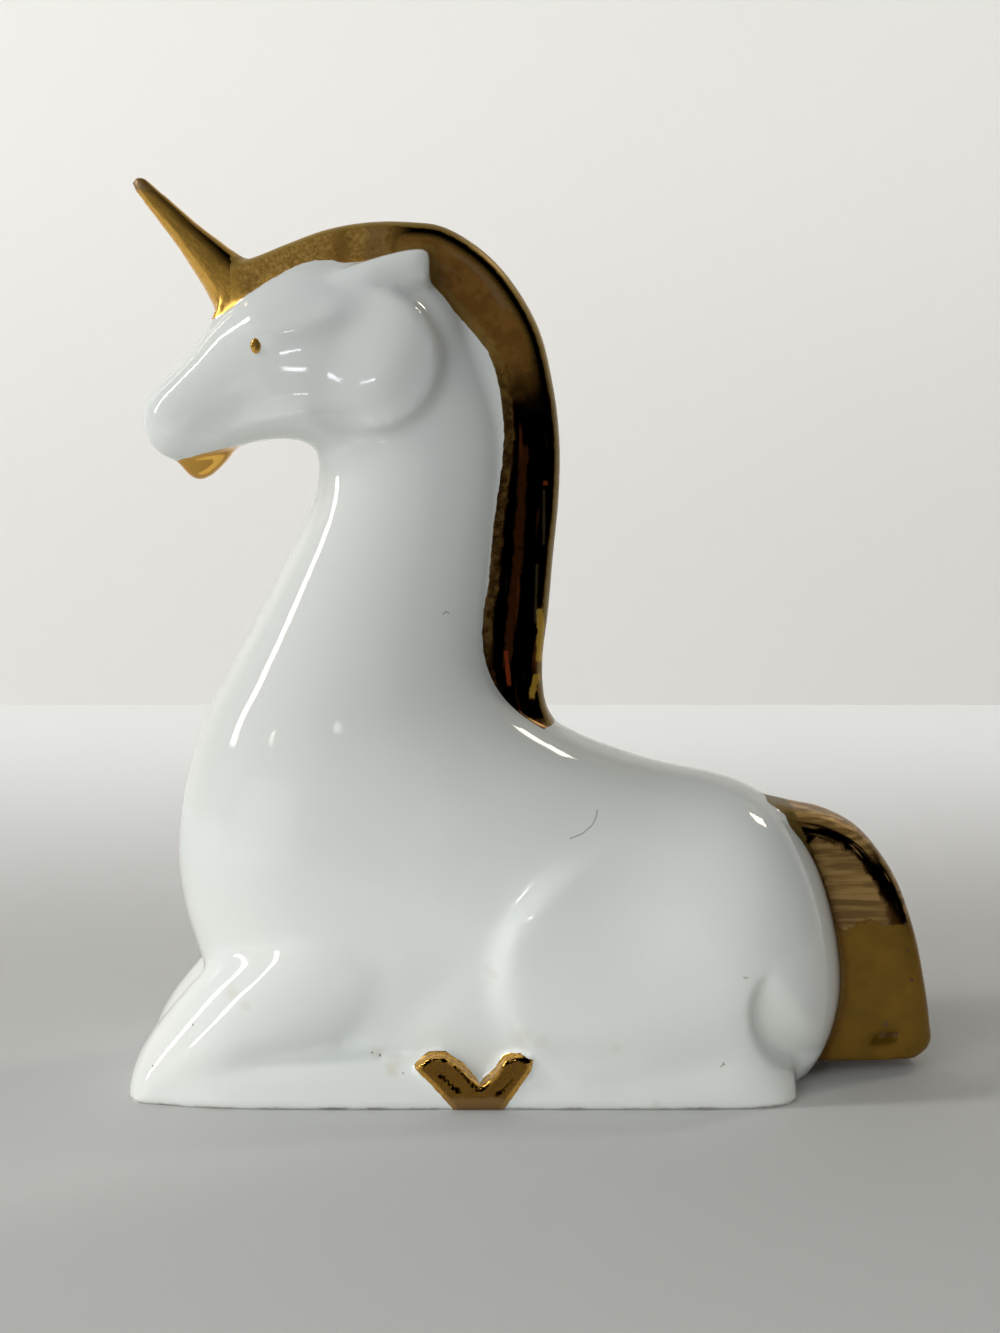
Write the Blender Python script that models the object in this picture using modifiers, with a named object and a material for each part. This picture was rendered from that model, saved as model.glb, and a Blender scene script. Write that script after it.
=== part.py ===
"""Reclining unicorn figurine: one hollow casting of glazed porcelain, with gilded horn, mane, tail, hooves.

The figure lies along X with its head towards -X and its tail towards +X, alike on both sides of Y = 0. It
rests on Z = 0, with the origin under the middle of its box. Outlines are in millimetres, meshes in metres.

The figure is built as a modeller works in clay. Lumps are lofted through ribs, and those that flow into each
other are run together and softened. The skin is raised or pressed in for thighs, hocks, cheeks and creases,
and the crisp parts are set on. Last, the foot is cut flat, and the inside and the casting vent are cut out.
"""
import math

import bmesh
import bpy
import numpy as np
from mathutils import Vector
from mathutils.bvhtree import BVHTree

MM = 0.001

# Casting
WALL = 3.6
FOOT_WALL = 3.6
VENT_DIAMETER = 9.0
VENT_X = 2.0
CORE_TOP = 97.0

# Mane and tail, which are flat bands that stand on the neck and rump
MANE_THICKNESS = 11.0
MANE_FRONT_THICKNESS = 9.0
MANE_FRONT_SHARE = 0.4
TAIL_THICKNESS = 11.0
BAND_ROOT = 5.0
BAND_SQUARENESS = (5.0, 5.0)

# Horn. Its profile gives shares of its length and of its base diameter, and its tip is rounded in shares of
# the tip's diameter.
HORN_LENGTH = 25.5
HORN_LEAN = 43.0
HORN_BASE_DIAMETER = 9.4
HORN_FLARE_DIAMETER = 15.0
HORN_TIP_DIAMETER = 2.7
HORN_SEAT = (-49.6, 131.8)
HORN_PROFILE = [(-0.08, 1.34), (0.06, 1.06), (0.2, 0.84), (0.5, 0.54), (0.8, 0.37)]
HORN_TIP = [(0.5, 1.0), (0.2, 0.8), (0.0, 0.4)]
HORN_ROOT = 6.0

# Cheek: a swelling whose rim stands proud in one direction, in degrees above +X, and fades out in front. The
# fade is given in shares of the radius that way.
CHEEK_RISE = 2.5
CHEEK_DIAMETER = 23.0
CHEEK_CENTRE = (-28.0, 121.0)
CHEEK_TOWARDS = -15.0
CHEEK_FADE = (-0.6, 0.6)
CHEEK_RIM = 1.6

# Eye and beard
EYE_WIDTH = 1.7
EYE_HEIGHT = 2.4
EYE_PROUD = 0.5
EYE_PLACE = (-46.3, 123.1)
BEARD_THICKNESS = 6.5

# Thigh: a swelling like the cheek's, proud in front of the belly
THIGH_RISE = 2.8
THIGH_LENGTH = 50.0
THIGH_HEIGHT = 41.0
THIGH_CENTRE = (17.5, 21.5)
THIGH_TOWARDS = 200.0
THIGH_FADE = (-0.3, 0.9)
THIGH_RIM = 3.0

# Hock: behind it the buttock is set back, in a hollow that is the reverse of a swelling
HOCK_DEPTH = 3.4
HOCK_LENGTH = 21.0
HOCK_HEIGHT = 22.0
HOCK_CENTRE = (44.5, 16.0)
HOCK_TOWARDS = 216.0
HOCK_FADE = (0.12, 0.85)
HOCK_RIM = 1.6

# Forelegs and hooves
KNEE_GROOVE = 3.6
KNEE_WEB_WIDTH = 18.0
KNEE_WEB_REACH = 10.0
HOOF_DEPTH = 6.0
HOOF_FACE = 24.6

# Working sizes of the clay: grain of each stage, and length over which its joints are softened
SOFT_GRAIN = 1.4
SOFT_BLEND = 4.85
LIMB_GRAIN = 1.1
LIMB_BLEND = 2.91
CRISP_GRAIN = 0.85
CRISP_BLEND = 1.47
FACES = 8200
RIB_SIDES = 32
RIB_STEPS = 4
LIMB_SIDES = 24
CORE_SIDES = 20
GROUND_DEPTH = 30.0

# Squareness of the ribs in front and behind: 2 is an ellipse
BACK_SQUARENESS = 2.1
HEAD_SQUARENESS = (2.9, 2.3)
HEAD_WIDEST = 0.58
FOREARM_SQUARENESS = (2.1, 2.1)
LEG_SQUARENESS = (2.4, 2.4)
KNEE_WEB_SQUARENESS = (2.6, 2.6)
EAR_SQUARENESS = (2.6, 2.6)

# Ribs of the neck and trunk: front x, z, back x, z, half-width, share of the way back to the widest place,
# squareness of the front half. They turn like a fan from level in the neck to upright in the trunk.
TRUNK_RIBS = [
    (-36.5, 112.0, -9.5, 125.0, 9.4, 0.50, 2.1),
    (-37.3, 105.0, -5.2, 112.0, 10.2, 0.50, 2.1),
    (-37.8, 99.5, -5.0, 103.0, 10.9, 0.50, 2.1),
    (-40.2, 93.2, -6.0, 94.5, 12.0, 0.50, 2.1),
    (-43.7, 86.3, -7.0, 86.5, 13.4, 0.50, 2.1),
    (-48.2, 77.8, -8.0, 78.5, 15.2, 0.50, 2.1),
    (-52.7, 69.6, -7.8, 71.5, 17.0, 0.50, 2.1),
    (-56.9, 62.0, -5.2, 65.8, 18.6, 0.49, 2.1),
    (-59.8, 53.2, -1.0, 62.0, 20.0, 0.48, 2.1),
    (-61.7, 44.0, 3.2, 59.6, 21.0, 0.47, 2.1),
    (-62.0, 35.0, 8.5, 57.0, 21.6, 0.46, 2.2),
    (-60.0, 25.0, 14.0, 55.0, 21.9, 0.46, 2.3),
    (-53.0, 8.0, 20.0, 53.2, 21.9, 0.46, 2.5),
    (-36.0, -6.0, 26.0, 52.0, 22.0, 0.46, 2.7),
    (-14.0, -8.0, 30.5, 51.0, 22.4, 0.46, 2.8),
    (8.0, -8.0, 35.2, 49.3, 23.8, 0.47, 2.7),
    (26.0, -7.0, 39.6, 46.6, 24.0, 0.49, 2.4),
    (38.0, -5.0, 43.6, 42.4, 21.6, 0.50, 2.2),
    (45.0, -2.0, 46.9, 36.8, 17.4, 0.50, 2.1),
    (49.0, 4.0, 49.7, 28.0, 12.0, 0.48, 2.0),
    (51.2, 11.0, 51.2, 20.0, 5.4, 0.47, 2.0),
]

# Ribs of the head from the muzzle to the poll: top x, z, underside x, z, half-width
HEAD_RIBS = [
    (-67.0, 113.0, -66.2, 107.8, 2.8),
    (-65.0, 115.8, -63.4, 104.9, 5.8),
    (-62.0, 118.6, -59.6, 103.8, 7.4),
    (-58.4, 122.4, -54.6, 105.0, 8.2),
    (-55.2, 126.4, -49.6, 106.9, 9.0),
    (-51.3, 130.4, -45.0, 107.8, 10.0),
    (-46.5, 134.0, -40.6, 107.8, 11.0),
    (-40.5, 137.0, -36.0, 106.8, 11.7),
    (-34.0, 138.3, -30.6, 106.8, 11.9),
    (-27.0, 138.4, -25.6, 107.8, 11.6),
    (-20.0, 136.8, -20.6, 110.6, 10.6),
    (-14.5, 132.0, -16.6, 113.6, 9.0),
    (-11.4, 127.2, -13.8, 117.6, 5.4),
]

# Ear, laid back along the side of the poll: upper x, z, lower x, z, half-width, distance from the middle
EAR_RIBS = [
    (-38.5, 133.2, -37.5, 130.4, 1.4, 7.4),
    (-34.0, 134.9, -33.0, 130.2, 2.2, 7.8),
    (-29.0, 136.6, -28.5, 130.6, 3.1, 7.9),
    (-24.0, 138.0, -24.0, 132.0, 3.2, 7.9),
    (-20.4, 138.6, -20.4, 132.8, 3.1, 7.9),
    (-18.4, 138.5, -18.4, 133.1, 2.7, 7.8),
]

# Upper foreleg: front x, z, back x, z, half-width, distance from the middle
FOREARM_RIBS = [
    (-41.0, 43.0, -12.0, 43.0, 8.0, 9.8),
    (-43.5, 34.5, -11.0, 31.0, 10.0, 10.7),
    (-49.5, 26.3, -16.0, 18.0, 11.2, 11.0),
    (-56.5, 19.8, -29.0, 8.5, 11.8, 11.3),
    (-61.9, 13.8, -45.5, 1.0, 12.0, 11.1),
    (-65.8, 8.8, -57.0, -3.0, 11.6, 10.9),
    (-68.2, 4.4, -62.0, -5.0, 11.0, 11.1),
    (-69.3, 0.0, -64.0, -6.5, 10.5, 11.2),
]

# Lower legs, which lie on the table: top x, z, bottom x, z, half-width, distance from the middle
FORE_CANNON_RIBS = [
    (-64.0, 8.0, -64.0, -8.0, 6.2, 15.8),
    (-54.0, 8.8, -54.0, -8.0, 7.4, 16.6),
    (-40.0, 9.3, -40.0, -8.0, 7.7, 16.8),
    (-26.0, 9.3, -26.0, -8.0, 7.7, 16.8),
    (-17.0, 9.4, -17.0, -8.0, 7.6, 16.8),
    (-11.5, 5.6, -13.0, -8.0, 7.2, 16.8),
]
HIND_CANNON_RIBS = [
    (-9.4, 4.0, -8.0, -8.0, 7.0, 16.8),
    (-4.0, 9.0, -4.0, -8.0, 7.6, 16.8),
    (8.0, 9.2, 8.0, -8.0, 7.7, 16.8),
    (22.0, 9.6, 22.0, -8.0, 7.7, 16.8),
    (32.0, 11.6, 34.0, -8.0, 7.6, 16.6),
    (38.0, 9.6, 39.6, -8.0, 7.0, 16.0),
    (41.8, 5.4, 42.4, -8.0, 5.4, 15.0),
]

# Mane: line along the neck x, z and outer line x, z
MANE_RIBS = [
    (-54.8, 126.6, -49.8, 136.9),
    (-51.2, 129.0, -46.6, 137.9),
    (-45.6, 133.0, -41.8, 139.8),
    (-39.6, 136.0, -35.6, 142.0),
    (-33.0, 136.6, -29.0, 143.2),
    (-26.0, 136.6, -22.0, 143.3),
    (-19.6, 135.2, -15.2, 142.1),
    (-14.0, 129.6, -7.2, 136.3),
    (-9.6, 122.8, -1.0, 127.0),
    (-7.4, 116.0, 1.7, 117.3),
    (-6.4, 108.0, 2.9, 107.8),
    (-7.0, 99.4, 2.8, 98.4),
    (-8.4, 89.3, 1.9, 88.6),
    (-9.6, 79.8, 1.1, 79.2),
    (-9.8, 71.6, 0.2, 71.6),
    (-8.6, 65.6, 0.3, 66.0),
    (-5.0, 61.6, 1.1, 62.2),
    (-0.6, 59.0, 2.4, 60.0),
]

# Tail: line along the rump x, z and outer line x, z
TAIL_RIBS = [
    (37.4, 45.4, 38.6, 46.9),
    (40.6, 43.2, 43.4, 45.8),
    (43.6, 39.4, 48.9, 44.6),
    (46.0, 34.0, 55.0, 41.1),
    (48.2, 28.2, 60.4, 33.9),
    (49.6, 22.4, 64.0, 24.4),
    (50.4, 16.4, 66.0, 15.6),
    (50.0, 10.6, 67.2, 8.0),
    (48.6, 5.6, 67.4, 4.2),
    (47.0, 1.6, 65.2, 2.0),
]

# Beard under the chin: upper x, z, lower x, z, share of the beard's half-thickness
BEARD_RIBS = [
    (-60.6, 106.0, -60.2, 103.2, 0.62),
    (-58.4, 107.0, -58.4, 101.4, 0.95),
    (-56.4, 107.6, -56.2, 101.3, 1.0),
    (-53.6, 108.4, -53.4, 103.4, 0.9),
    (-50.6, 109.4, -50.8, 106.6, 0.6),
]

# Outline of the two hooves that meet on each side, x and z
HOOF_OUTLINE = [
    (-20.8, 7.2), (-18.6, 8.9), (-15.9, 9.0), (-13.2, 7.0), (-10.3, 3.8),
    (-7.9, 5.8), (-6.2, 8.6), (-3.8, 9.1), (-1.9, 8.2), (-2.2, 6.6),
    (-5.2, 2.4), (-6.6, 0.2), (-6.6, -2.0), (-14.6, -2.0), (-14.6, 0.6), (-17.8, 4.4),
]

# Creases: line x, z, depth, reach to the left of the line and reach to its right. They fade out at both ends,
# and one with a negative depth is a ridge.
ELBOW_CREASE = ([(-12.0, 25.0), (-17.0, 19.4), (-23.0, 14.4), (-31.5, 10.2)], 0.5, 3.0, 5.0)
FORE_CANNON_CREASE = ([(-23.4, 8.8), (-31.5, 8.9), (-39.8, 8.4), (-47.0, 7.5), (-53.8, 6.2)], 0.8, 1.3, 2.2)
HIND_CANNON_CREASE = ([(18.5, 8.8), (10.0, 8.6), (4.0, 9.2), (-1.0, 11.6)], 0.5, 1.6, 2.4)
JAW_RIDGE = (
    [(-29.5, 109.4), (-34.0, 111.0), (-40.0, 111.8), (-47.0, 109.6), (-53.0, 106.8), (-60.0, 103.0)],
    -1.5, 5.0, 2.2,
)
BROW_RIDGE = (
    [(-27.5, 131.2), (-32.5, 128.9), (-37.0, 127.0), (-42.4, 126.0), (-47.2, 125.9), (-52.5, 124.6)],
    -0.8, 2.4, 2.4,
)
CREASE_ENDS = 0.3


def remove_everything():
    for item in list(bpy.data.objects):
        bpy.data.objects.remove(item, do_unlink=True)


def keep_in(name, visible):
    folder = bpy.data.collections.new(name)
    bpy.context.scene.collection.children.link(folder)
    folder.hide_render = not visible
    return folder


def as_object(bm, name, folder):
    mesh = bpy.data.meshes.new(name)
    bm.to_mesh(mesh)
    bm.free()
    item = bpy.data.objects.new(name, mesh)
    folder.objects.link(item)
    return item


def curve_through(rows, steps=RIB_STEPS):
    """Rows of numbers, with smooth ones added between each pair."""
    dense = []
    for i in range(len(rows) - 1):
        around = [rows[max(i - 1, 0)], rows[i], rows[i + 1], rows[min(i + 2, len(rows) - 1)]]
        for step in range(steps):
            t = step / steps
            weights = (
                -t + 2 * t ** 2 - t ** 3, 2 - 5 * t ** 2 + 3 * t ** 3,
                t + 4 * t ** 2 - 3 * t ** 3, -t ** 2 + t ** 3,
            )
            dense.append([sum(w * v for w, v in zip(weights, values)) / 2 for values in zip(*around)])
    dense.append(list(rows[-1]))
    return dense


def make_rib(front, back, half_width, squareness=(2.0, 2.0), widest=0.5, distance=0.0):
    return {
        "front": Vector(front), "back": Vector(back), "half_width": half_width,
        "squareness": squareness, "widest": widest, "distance": distance,
    }


def rib_point(rib, angle):
    """Point of a rib's outline. Its ends lie at Y = distance, and its sides at the half-width from there."""
    c, s = math.cos(angle), math.sin(angle)
    square = rib["squareness"][0] if s < 0 else rib["squareness"][1]
    across = math.copysign(abs(c) ** (2 / square), c) * rib["half_width"]
    along = math.copysign(abs(s) ** (2 / square), s)
    share = rib["widest"] * (1 + along) if along < 0 else rib["widest"] + along * (1 - rib["widest"])
    middle = rib["front"].lerp(rib["back"], share)
    return Vector((middle.x, rib["distance"] + across, middle.y)) * MM


def loft(ribs, sides=RIB_SIDES):
    """Closed lump through ribs, with their rings bridged one to the next and the ends closed."""
    bm = bmesh.new()
    rings = []
    for rib in ribs:
        verts = bmesh.ops.create_circle(bm, segments=sides, radius=1.0)["verts"]
        rings.append(list(dict.fromkeys(edge for vert in verts for edge in vert.link_edges)))
        for vert in verts:
            vert.co = rib_point(rib, math.atan2(vert.co.y, vert.co.x))
    for first, second in zip(rings, rings[1:]):
        bmesh.ops.bridge_loops(bm, edges=first + second)
    bmesh.ops.edgeloop_fill(bm, edges=rings[0])
    bmesh.ops.edgeloop_fill(bm, edges=rings[-1])
    bmesh.ops.recalc_face_normals(bm, faces=bm.faces)
    return bm


def both_sides(bm):
    """The lump on the near flank and its mirror image on the far one."""
    bmesh.ops.mirror(bm, geom=bm.verts[:] + bm.edges[:] + bm.faces[:], axis="Y", merge_dist=0.0)
    bmesh.ops.recalc_face_normals(bm, faces=bm.faces)
    return bm


def trunk():
    """Neck and trunk."""
    return loft([
        make_rib((fx, fz), (bx, bz), width, (square, BACK_SQUARENESS), widest)
        for fx, fz, bx, bz, width, widest, square in curve_through(TRUNK_RIBS)
    ])


def casting_core():
    """Inside of the neck and trunk: their ribs drawn in by the wall, from its foot to the core's top."""
    ribs = []
    rump_end = TRUNK_RIBS[-1][0] - WALL
    for fx, fz, bx, bz, width, widest, square in curve_through(TRUNK_RIBS, 1):
        front, back = Vector((fx, fz)), Vector((bx, bz))
        inward = (back - front).normalized() * WALL
        front, back = front + inward, back - inward
        if width < 2 * WALL or front.y > CORE_TOP:
            continue
        front = Vector((min(front.x, rump_end), max(front.y, FOOT_WALL)))
        back.x = min(back.x, rump_end)
        ribs.append(make_rib(front, back, width - WALL, (square, BACK_SQUARENESS), widest))
    return loft(ribs, CORE_SIDES)


def head():
    return loft([
        make_rib((ux, uz), (tx, tz), width, HEAD_SQUARENESS, HEAD_WIDEST)
        for tx, tz, ux, uz, width in curve_through(HEAD_RIBS)
    ])


def side_lump(rows, squareness=LEG_SQUARENESS):
    """Lump on the near flank and its twin, from rows that end with the distance from the middle."""
    return both_sides(loft([
        make_rib(row[0:2], row[2:4], row[4], squareness, distance=-row[5]) for row in curve_through(rows)
    ], LIMB_SIDES))


def knee_web():
    """Clay between the forelegs, set back from their fronts by the groove, that reaches under the chest."""
    return loft([
        make_rib(
            (fx + KNEE_GROOVE, fz - KNEE_GROOVE / 2), (bx + KNEE_WEB_REACH, bz), KNEE_WEB_WIDTH / 2,
            KNEE_WEB_SQUARENESS,
        )
        for fx, fz, bx, bz, _, _ in curve_through(FOREARM_RIBS)
    ])


def band(rows, front_thickness, thickness):
    """Flat band with rounded edges that stands on the body along its inner line."""
    dense = curve_through(rows)
    ribs = []
    for i, row in enumerate(dense):
        inner, outer = Vector(row[0:2]), Vector(row[2:4])
        share = min(1.0, i / (len(dense) * MANE_FRONT_SHARE))
        half = (front_thickness * (1 - share) + thickness * share) / 2
        ribs.append(make_rib(inner - (outer - inner).normalized() * BAND_ROOT, outer, half, BAND_SQUARENESS))
    return loft(ribs)


def horn():
    """Plain cone that flares where it meets the forehead and the mane."""
    lean = math.radians(HORN_LEAN)
    axis = Vector((-math.sin(lean), math.cos(lean)))
    across = Vector((-axis.y, axis.x))
    stations = [(-HORN_ROOT, HORN_FLARE_DIAMETER)]
    stations += [(share * HORN_LENGTH, size * HORN_BASE_DIAMETER) for share, size in HORN_PROFILE]
    stations += [
        (HORN_LENGTH - HORN_TIP_DIAMETER * back, HORN_TIP_DIAMETER * size) for back, size in HORN_TIP
    ]
    ribs = []
    for along, diameter in stations:
        middle, edge = Vector(HORN_SEAT) + axis * along, across * diameter / 2
        ribs.append(make_rib(middle + edge, middle - edge, diameter / 2))
    return loft(ribs, LIMB_SIDES)


def beard():
    return loft([
        make_rib(row[0:2], row[2:4], row[4] * BEARD_THICKNESS / 2) for row in curve_through(BEARD_RIBS)
    ], LIMB_SIDES)


def hooves():
    """Plate of the V's outline on each flank, just proud of the legs."""
    bm = bmesh.new()
    face = bm.faces.new([bm.verts.new(Vector((x, -HOOF_FACE, z)) * MM) for x, z in HOOF_OUTLINE])
    back = bmesh.ops.extrude_face_region(bm, geom=[face])["geom"]
    back_verts = [item for item in back if isinstance(item, bmesh.types.BMVert)]
    bmesh.ops.translate(bm, verts=back_verts, vec=(0.0, HOOF_DEPTH * MM, 0.0))
    return both_sides(bm)


def fuse(lumps, folder, grain, blend):
    """One mass from lumps that overlap, with its joints softened over the blend's length."""
    together = bmesh.new()
    for lump in lumps:
        mesh = bpy.data.meshes.new("lump")
        lump.to_mesh(mesh)
        lump.free()
        together.from_mesh(mesh)
        bpy.data.meshes.remove(mesh)
    item = as_object(together, "clay", folder)
    remesh = item.modifiers.new("clay", "REMESH")
    remesh.mode = "VOXEL"
    remesh.voxel_size = grain * MM
    remesh.adaptivity = 0.0
    smooth = item.modifiers.new("softened", "SMOOTH")
    smooth.factor = 0.5
    smooth.iterations = round((blend / grain) ** 2)
    fused = bpy.data.meshes.new_from_object(item.evaluated_get(bpy.context.evaluated_depsgraph_get()))
    bpy.data.objects.remove(item, do_unlink=True)
    mass = bmesh.new()
    mass.from_mesh(fused)
    bpy.data.meshes.remove(fused)
    return mass


def eased(value):
    held = np.clip(value, 0.0, 1.0)
    return held * held * (3 - 2 * held)


def flank(bm):
    """X and Z of every vertex, in millimetres."""
    return np.array([(vert.co.x, vert.co.z) for vert in bm.verts]) / MM


def move_flanks(bm, outwards):
    """Move the skin away from the middle plane, each vertex by its own number of millimetres."""
    for vert, amount in zip(bm.verts, outwards):
        vert.co.y += math.copysign(1.0, vert.co.y) * max(amount * MM, -abs(vert.co.y))


def swell(bm, centre, length, height, rise, towards, fade, rim):
    """Raise an oval of each flank, proud at its rim in one direction (degrees above +X) and fading out."""
    offset = (flank(bm) - np.array(centre)) / np.array([length / 2, height / 2])
    ahead = offset @ np.array([math.cos(math.radians(towards)), math.sin(math.radians(towards))])
    rim_share = 2 * rim / min(length, height)
    inside = eased((1 + rim_share / 2 - np.hypot(offset[:, 0], offset[:, 1])) / rim_share)
    move_flanks(bm, rise * inside * eased((ahead - fade[0]) / (fade[1] - fade[0])))


def line_distances(points, line):
    """For each point: distance to the line, side of it (+1 is left) and share of the way along it."""
    line = np.array(line, float)
    starts, steps = line[:-1], np.diff(line, axis=0)
    lengths = np.hypot(steps[:, 0], steps[:, 1])
    away = points[:, None, :] - starts[None, :, :]
    share = np.clip((away * steps).sum(2) / lengths ** 2, 0.0, 1.0)
    gap = away - share[:, :, None] * steps[None, :, :]
    distance = np.hypot(gap[:, :, 0], gap[:, :, 1])
    near = distance.argmin(1)
    rows = np.arange(len(points))
    side = np.sign(steps[near, 0] * away[rows, near, 1] - steps[near, 1] * away[rows, near, 0])
    before = np.concatenate([[0.0], np.cumsum(lengths)])[near]
    return distance[rows, near], side, (before + share[rows, near] * lengths[near]) / lengths.sum()


def press(bm, crease):
    """Push the flanks towards the middle plane along a crease."""
    line, depth, left_reach, right_reach = crease
    distance, side, along = line_distances(flank(bm), curve_through(line))
    reach = np.where(side > 0, left_reach, right_reach)
    ends = eased(np.minimum(along, 1 - along) / CREASE_ENDS)
    move_flanks(bm, -depth * np.exp(-(distance / reach) ** 2) * ends)


def stand_over_origin(bm):
    """Shift the figure along X so that its box is centred on the origin, and return the shift."""
    low = min(vert.co.x for vert in bm.verts)
    high = max(vert.co.x for vert in bm.verts)
    shift = -(low + high) / 2
    bmesh.ops.translate(bm, verts=bm.verts, vec=(shift, 0.0, 0.0))
    return shift


def eye_beads(skin, shift):
    """Pair of oval beads, each seated where a line across the head meets the skin."""
    tree = BVHTree.FromBMesh(skin)
    bm = bmesh.new()
    for side in (-1, 1):
        start = Vector((EYE_PLACE[0] * MM + shift, side * CHEEK_DIAMETER * MM, EYE_PLACE[1] * MM))
        seat = tree.ray_cast(start, Vector((0.0, -side, 0.0)))[0]
        bead = bmesh.ops.create_uvsphere(bm, u_segments=12, v_segments=8, radius=1.0)["verts"]
        bmesh.ops.scale(bm, verts=bead, vec=(EYE_WIDTH / 2 * MM, EYE_PROUD * MM, EYE_HEIGHT / 2 * MM))
        bmesh.ops.translate(bm, verts=bead, vec=seat)
    return bm


def casting_vent():
    bm = bmesh.new()
    radius = VENT_DIAMETER / 2 * MM
    bmesh.ops.create_cone(
        bm, cap_ends=True, segments=LIMB_SIDES, radius1=radius, radius2=radius, depth=4 * FOOT_WALL * MM,
    )
    bmesh.ops.translate(bm, verts=bm.verts, vec=(VENT_X * MM, 0.0, 0.0))
    return bm


def below_the_foot(bm):
    """Block under Z = 0 that reaches past the mass on every side."""
    reach = 2 * max(max(abs(vert.co.x), abs(vert.co.y)) for vert in bm.verts)
    block = bmesh.new()
    bmesh.ops.create_cube(block, size=1.0)
    bmesh.ops.translate(block, verts=block.verts, vec=(0.0, 0.0, -0.5))
    bmesh.ops.scale(block, verts=block.verts, vec=(2 * reach, 2 * reach, GROUND_DEPTH * MM))
    return block


def combine(item, name, operation, cutter):
    cutter.display_type = "WIRE"
    cutter.hide_render = True
    boolean = item.modifiers.new(name, "BOOLEAN")
    boolean.operation = operation
    boolean.solver = "EXACT"
    boolean.object = cutter


def porcelain():
    material = bpy.data.materials.new("glazed_porcelain")
    material.use_nodes = True
    shader = material.node_tree.nodes["Principled BSDF"]
    shader.inputs["Base Color"].default_value = (0.62, 0.66, 0.65, 1.0)
    shader.inputs["Roughness"].default_value = 0.12
    shader.inputs["Metallic"].default_value = 0.0
    return material


def build():
    remove_everything()
    figure = keep_in("unicorn_figurine", True)
    cutters = keep_in("cutters", False)

    body = fuse([trunk(), head()], cutters, SOFT_GRAIN, SOFT_BLEND)
    swell(body, THIGH_CENTRE, THIGH_LENGTH, THIGH_HEIGHT, THIGH_RISE, THIGH_TOWARDS, THIGH_FADE, THIGH_RIM)

    forearms = side_lump(FOREARM_RIBS, FOREARM_SQUARENESS)
    cannons = [side_lump(FORE_CANNON_RIBS), side_lump(HIND_CANNON_RIBS)]
    limbs = fuse([body, knee_web(), forearms] + cannons, cutters, LIMB_GRAIN, LIMB_BLEND)
    swell(limbs, HOCK_CENTRE, HOCK_LENGTH, HOCK_HEIGHT, -HOCK_DEPTH, HOCK_TOWARDS, HOCK_FADE, HOCK_RIM)
    for crease in (ELBOW_CREASE, FORE_CANNON_CREASE, HIND_CANNON_CREASE, JAW_RIDGE):
        press(limbs, crease)
    swell(
        limbs, CHEEK_CENTRE, CHEEK_DIAMETER, CHEEK_DIAMETER, CHEEK_RISE, CHEEK_TOWARDS, CHEEK_FADE, CHEEK_RIM,
    )

    mane = band(MANE_RIBS, MANE_FRONT_THICKNESS, MANE_THICKNESS)
    tail = band(TAIL_RIBS, TAIL_THICKNESS, TAIL_THICKNESS)
    ears = side_lump(EAR_RIBS, EAR_SQUARENESS)
    mass = fuse([limbs, ears, horn(), beard(), hooves(), mane, tail], cutters, CRISP_GRAIN, CRISP_BLEND)
    press(mass, BROW_RIDGE)
    shift = stand_over_origin(mass)
    eyes = eye_beads(mass, shift)
    ground = below_the_foot(mass)
    core = casting_core()
    vent = casting_vent()
    for cutter in (core, vent):
        bmesh.ops.translate(cutter, verts=cutter.verts, vec=(shift, 0.0, 0.0))

    faces = sum(len(face.verts) - 2 for face in mass.faces)
    unicorn = as_object(mass, "unicorn", figure)
    unicorn.data.materials.append(porcelain())
    unicorn.data.shade_smooth()
    thin = unicorn.modifiers.new("fewer faces", "DECIMATE")
    thin.ratio = min(1.0, FACES / faces)
    combine(unicorn, "eyes", "UNION", as_object(eyes, "eye_beads", cutters))
    combine(unicorn, "flat foot", "DIFFERENCE", as_object(ground, "ground_cutter", cutters))
    combine(unicorn, "hollow", "DIFFERENCE", as_object(core, "casting_core", cutters))
    combine(unicorn, "vent", "DIFFERENCE", as_object(vent, "vent_cutter", cutters))


build()
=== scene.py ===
import math

import bmesh
import bpy
import numpy as np
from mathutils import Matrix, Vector
from mathutils.bvhtree import BVHTree


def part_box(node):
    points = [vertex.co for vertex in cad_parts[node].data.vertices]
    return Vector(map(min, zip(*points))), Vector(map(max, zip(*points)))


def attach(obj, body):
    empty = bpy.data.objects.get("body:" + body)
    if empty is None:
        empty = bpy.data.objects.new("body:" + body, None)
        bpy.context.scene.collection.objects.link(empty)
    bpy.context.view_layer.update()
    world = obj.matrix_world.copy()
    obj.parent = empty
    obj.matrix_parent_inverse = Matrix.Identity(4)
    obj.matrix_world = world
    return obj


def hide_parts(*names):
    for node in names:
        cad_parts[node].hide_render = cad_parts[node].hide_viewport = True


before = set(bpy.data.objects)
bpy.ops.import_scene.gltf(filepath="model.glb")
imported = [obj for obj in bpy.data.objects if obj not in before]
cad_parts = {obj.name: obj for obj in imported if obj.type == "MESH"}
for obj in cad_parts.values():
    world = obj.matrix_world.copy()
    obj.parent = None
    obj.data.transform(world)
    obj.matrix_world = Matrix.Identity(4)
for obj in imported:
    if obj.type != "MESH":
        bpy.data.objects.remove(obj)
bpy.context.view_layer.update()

# The figurine is one slip-cast porcelain piece, 150 mm tall, glazed white and gilded with bright gold lustre.
# It lies along X with its head towards -X, and both flanks are alike. It is built here as its model was:
# lumps are lofted through ribs, run together like clay and softened. Drawings are in millimetres, meshes in
# metres.
MM = 0.001

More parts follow.
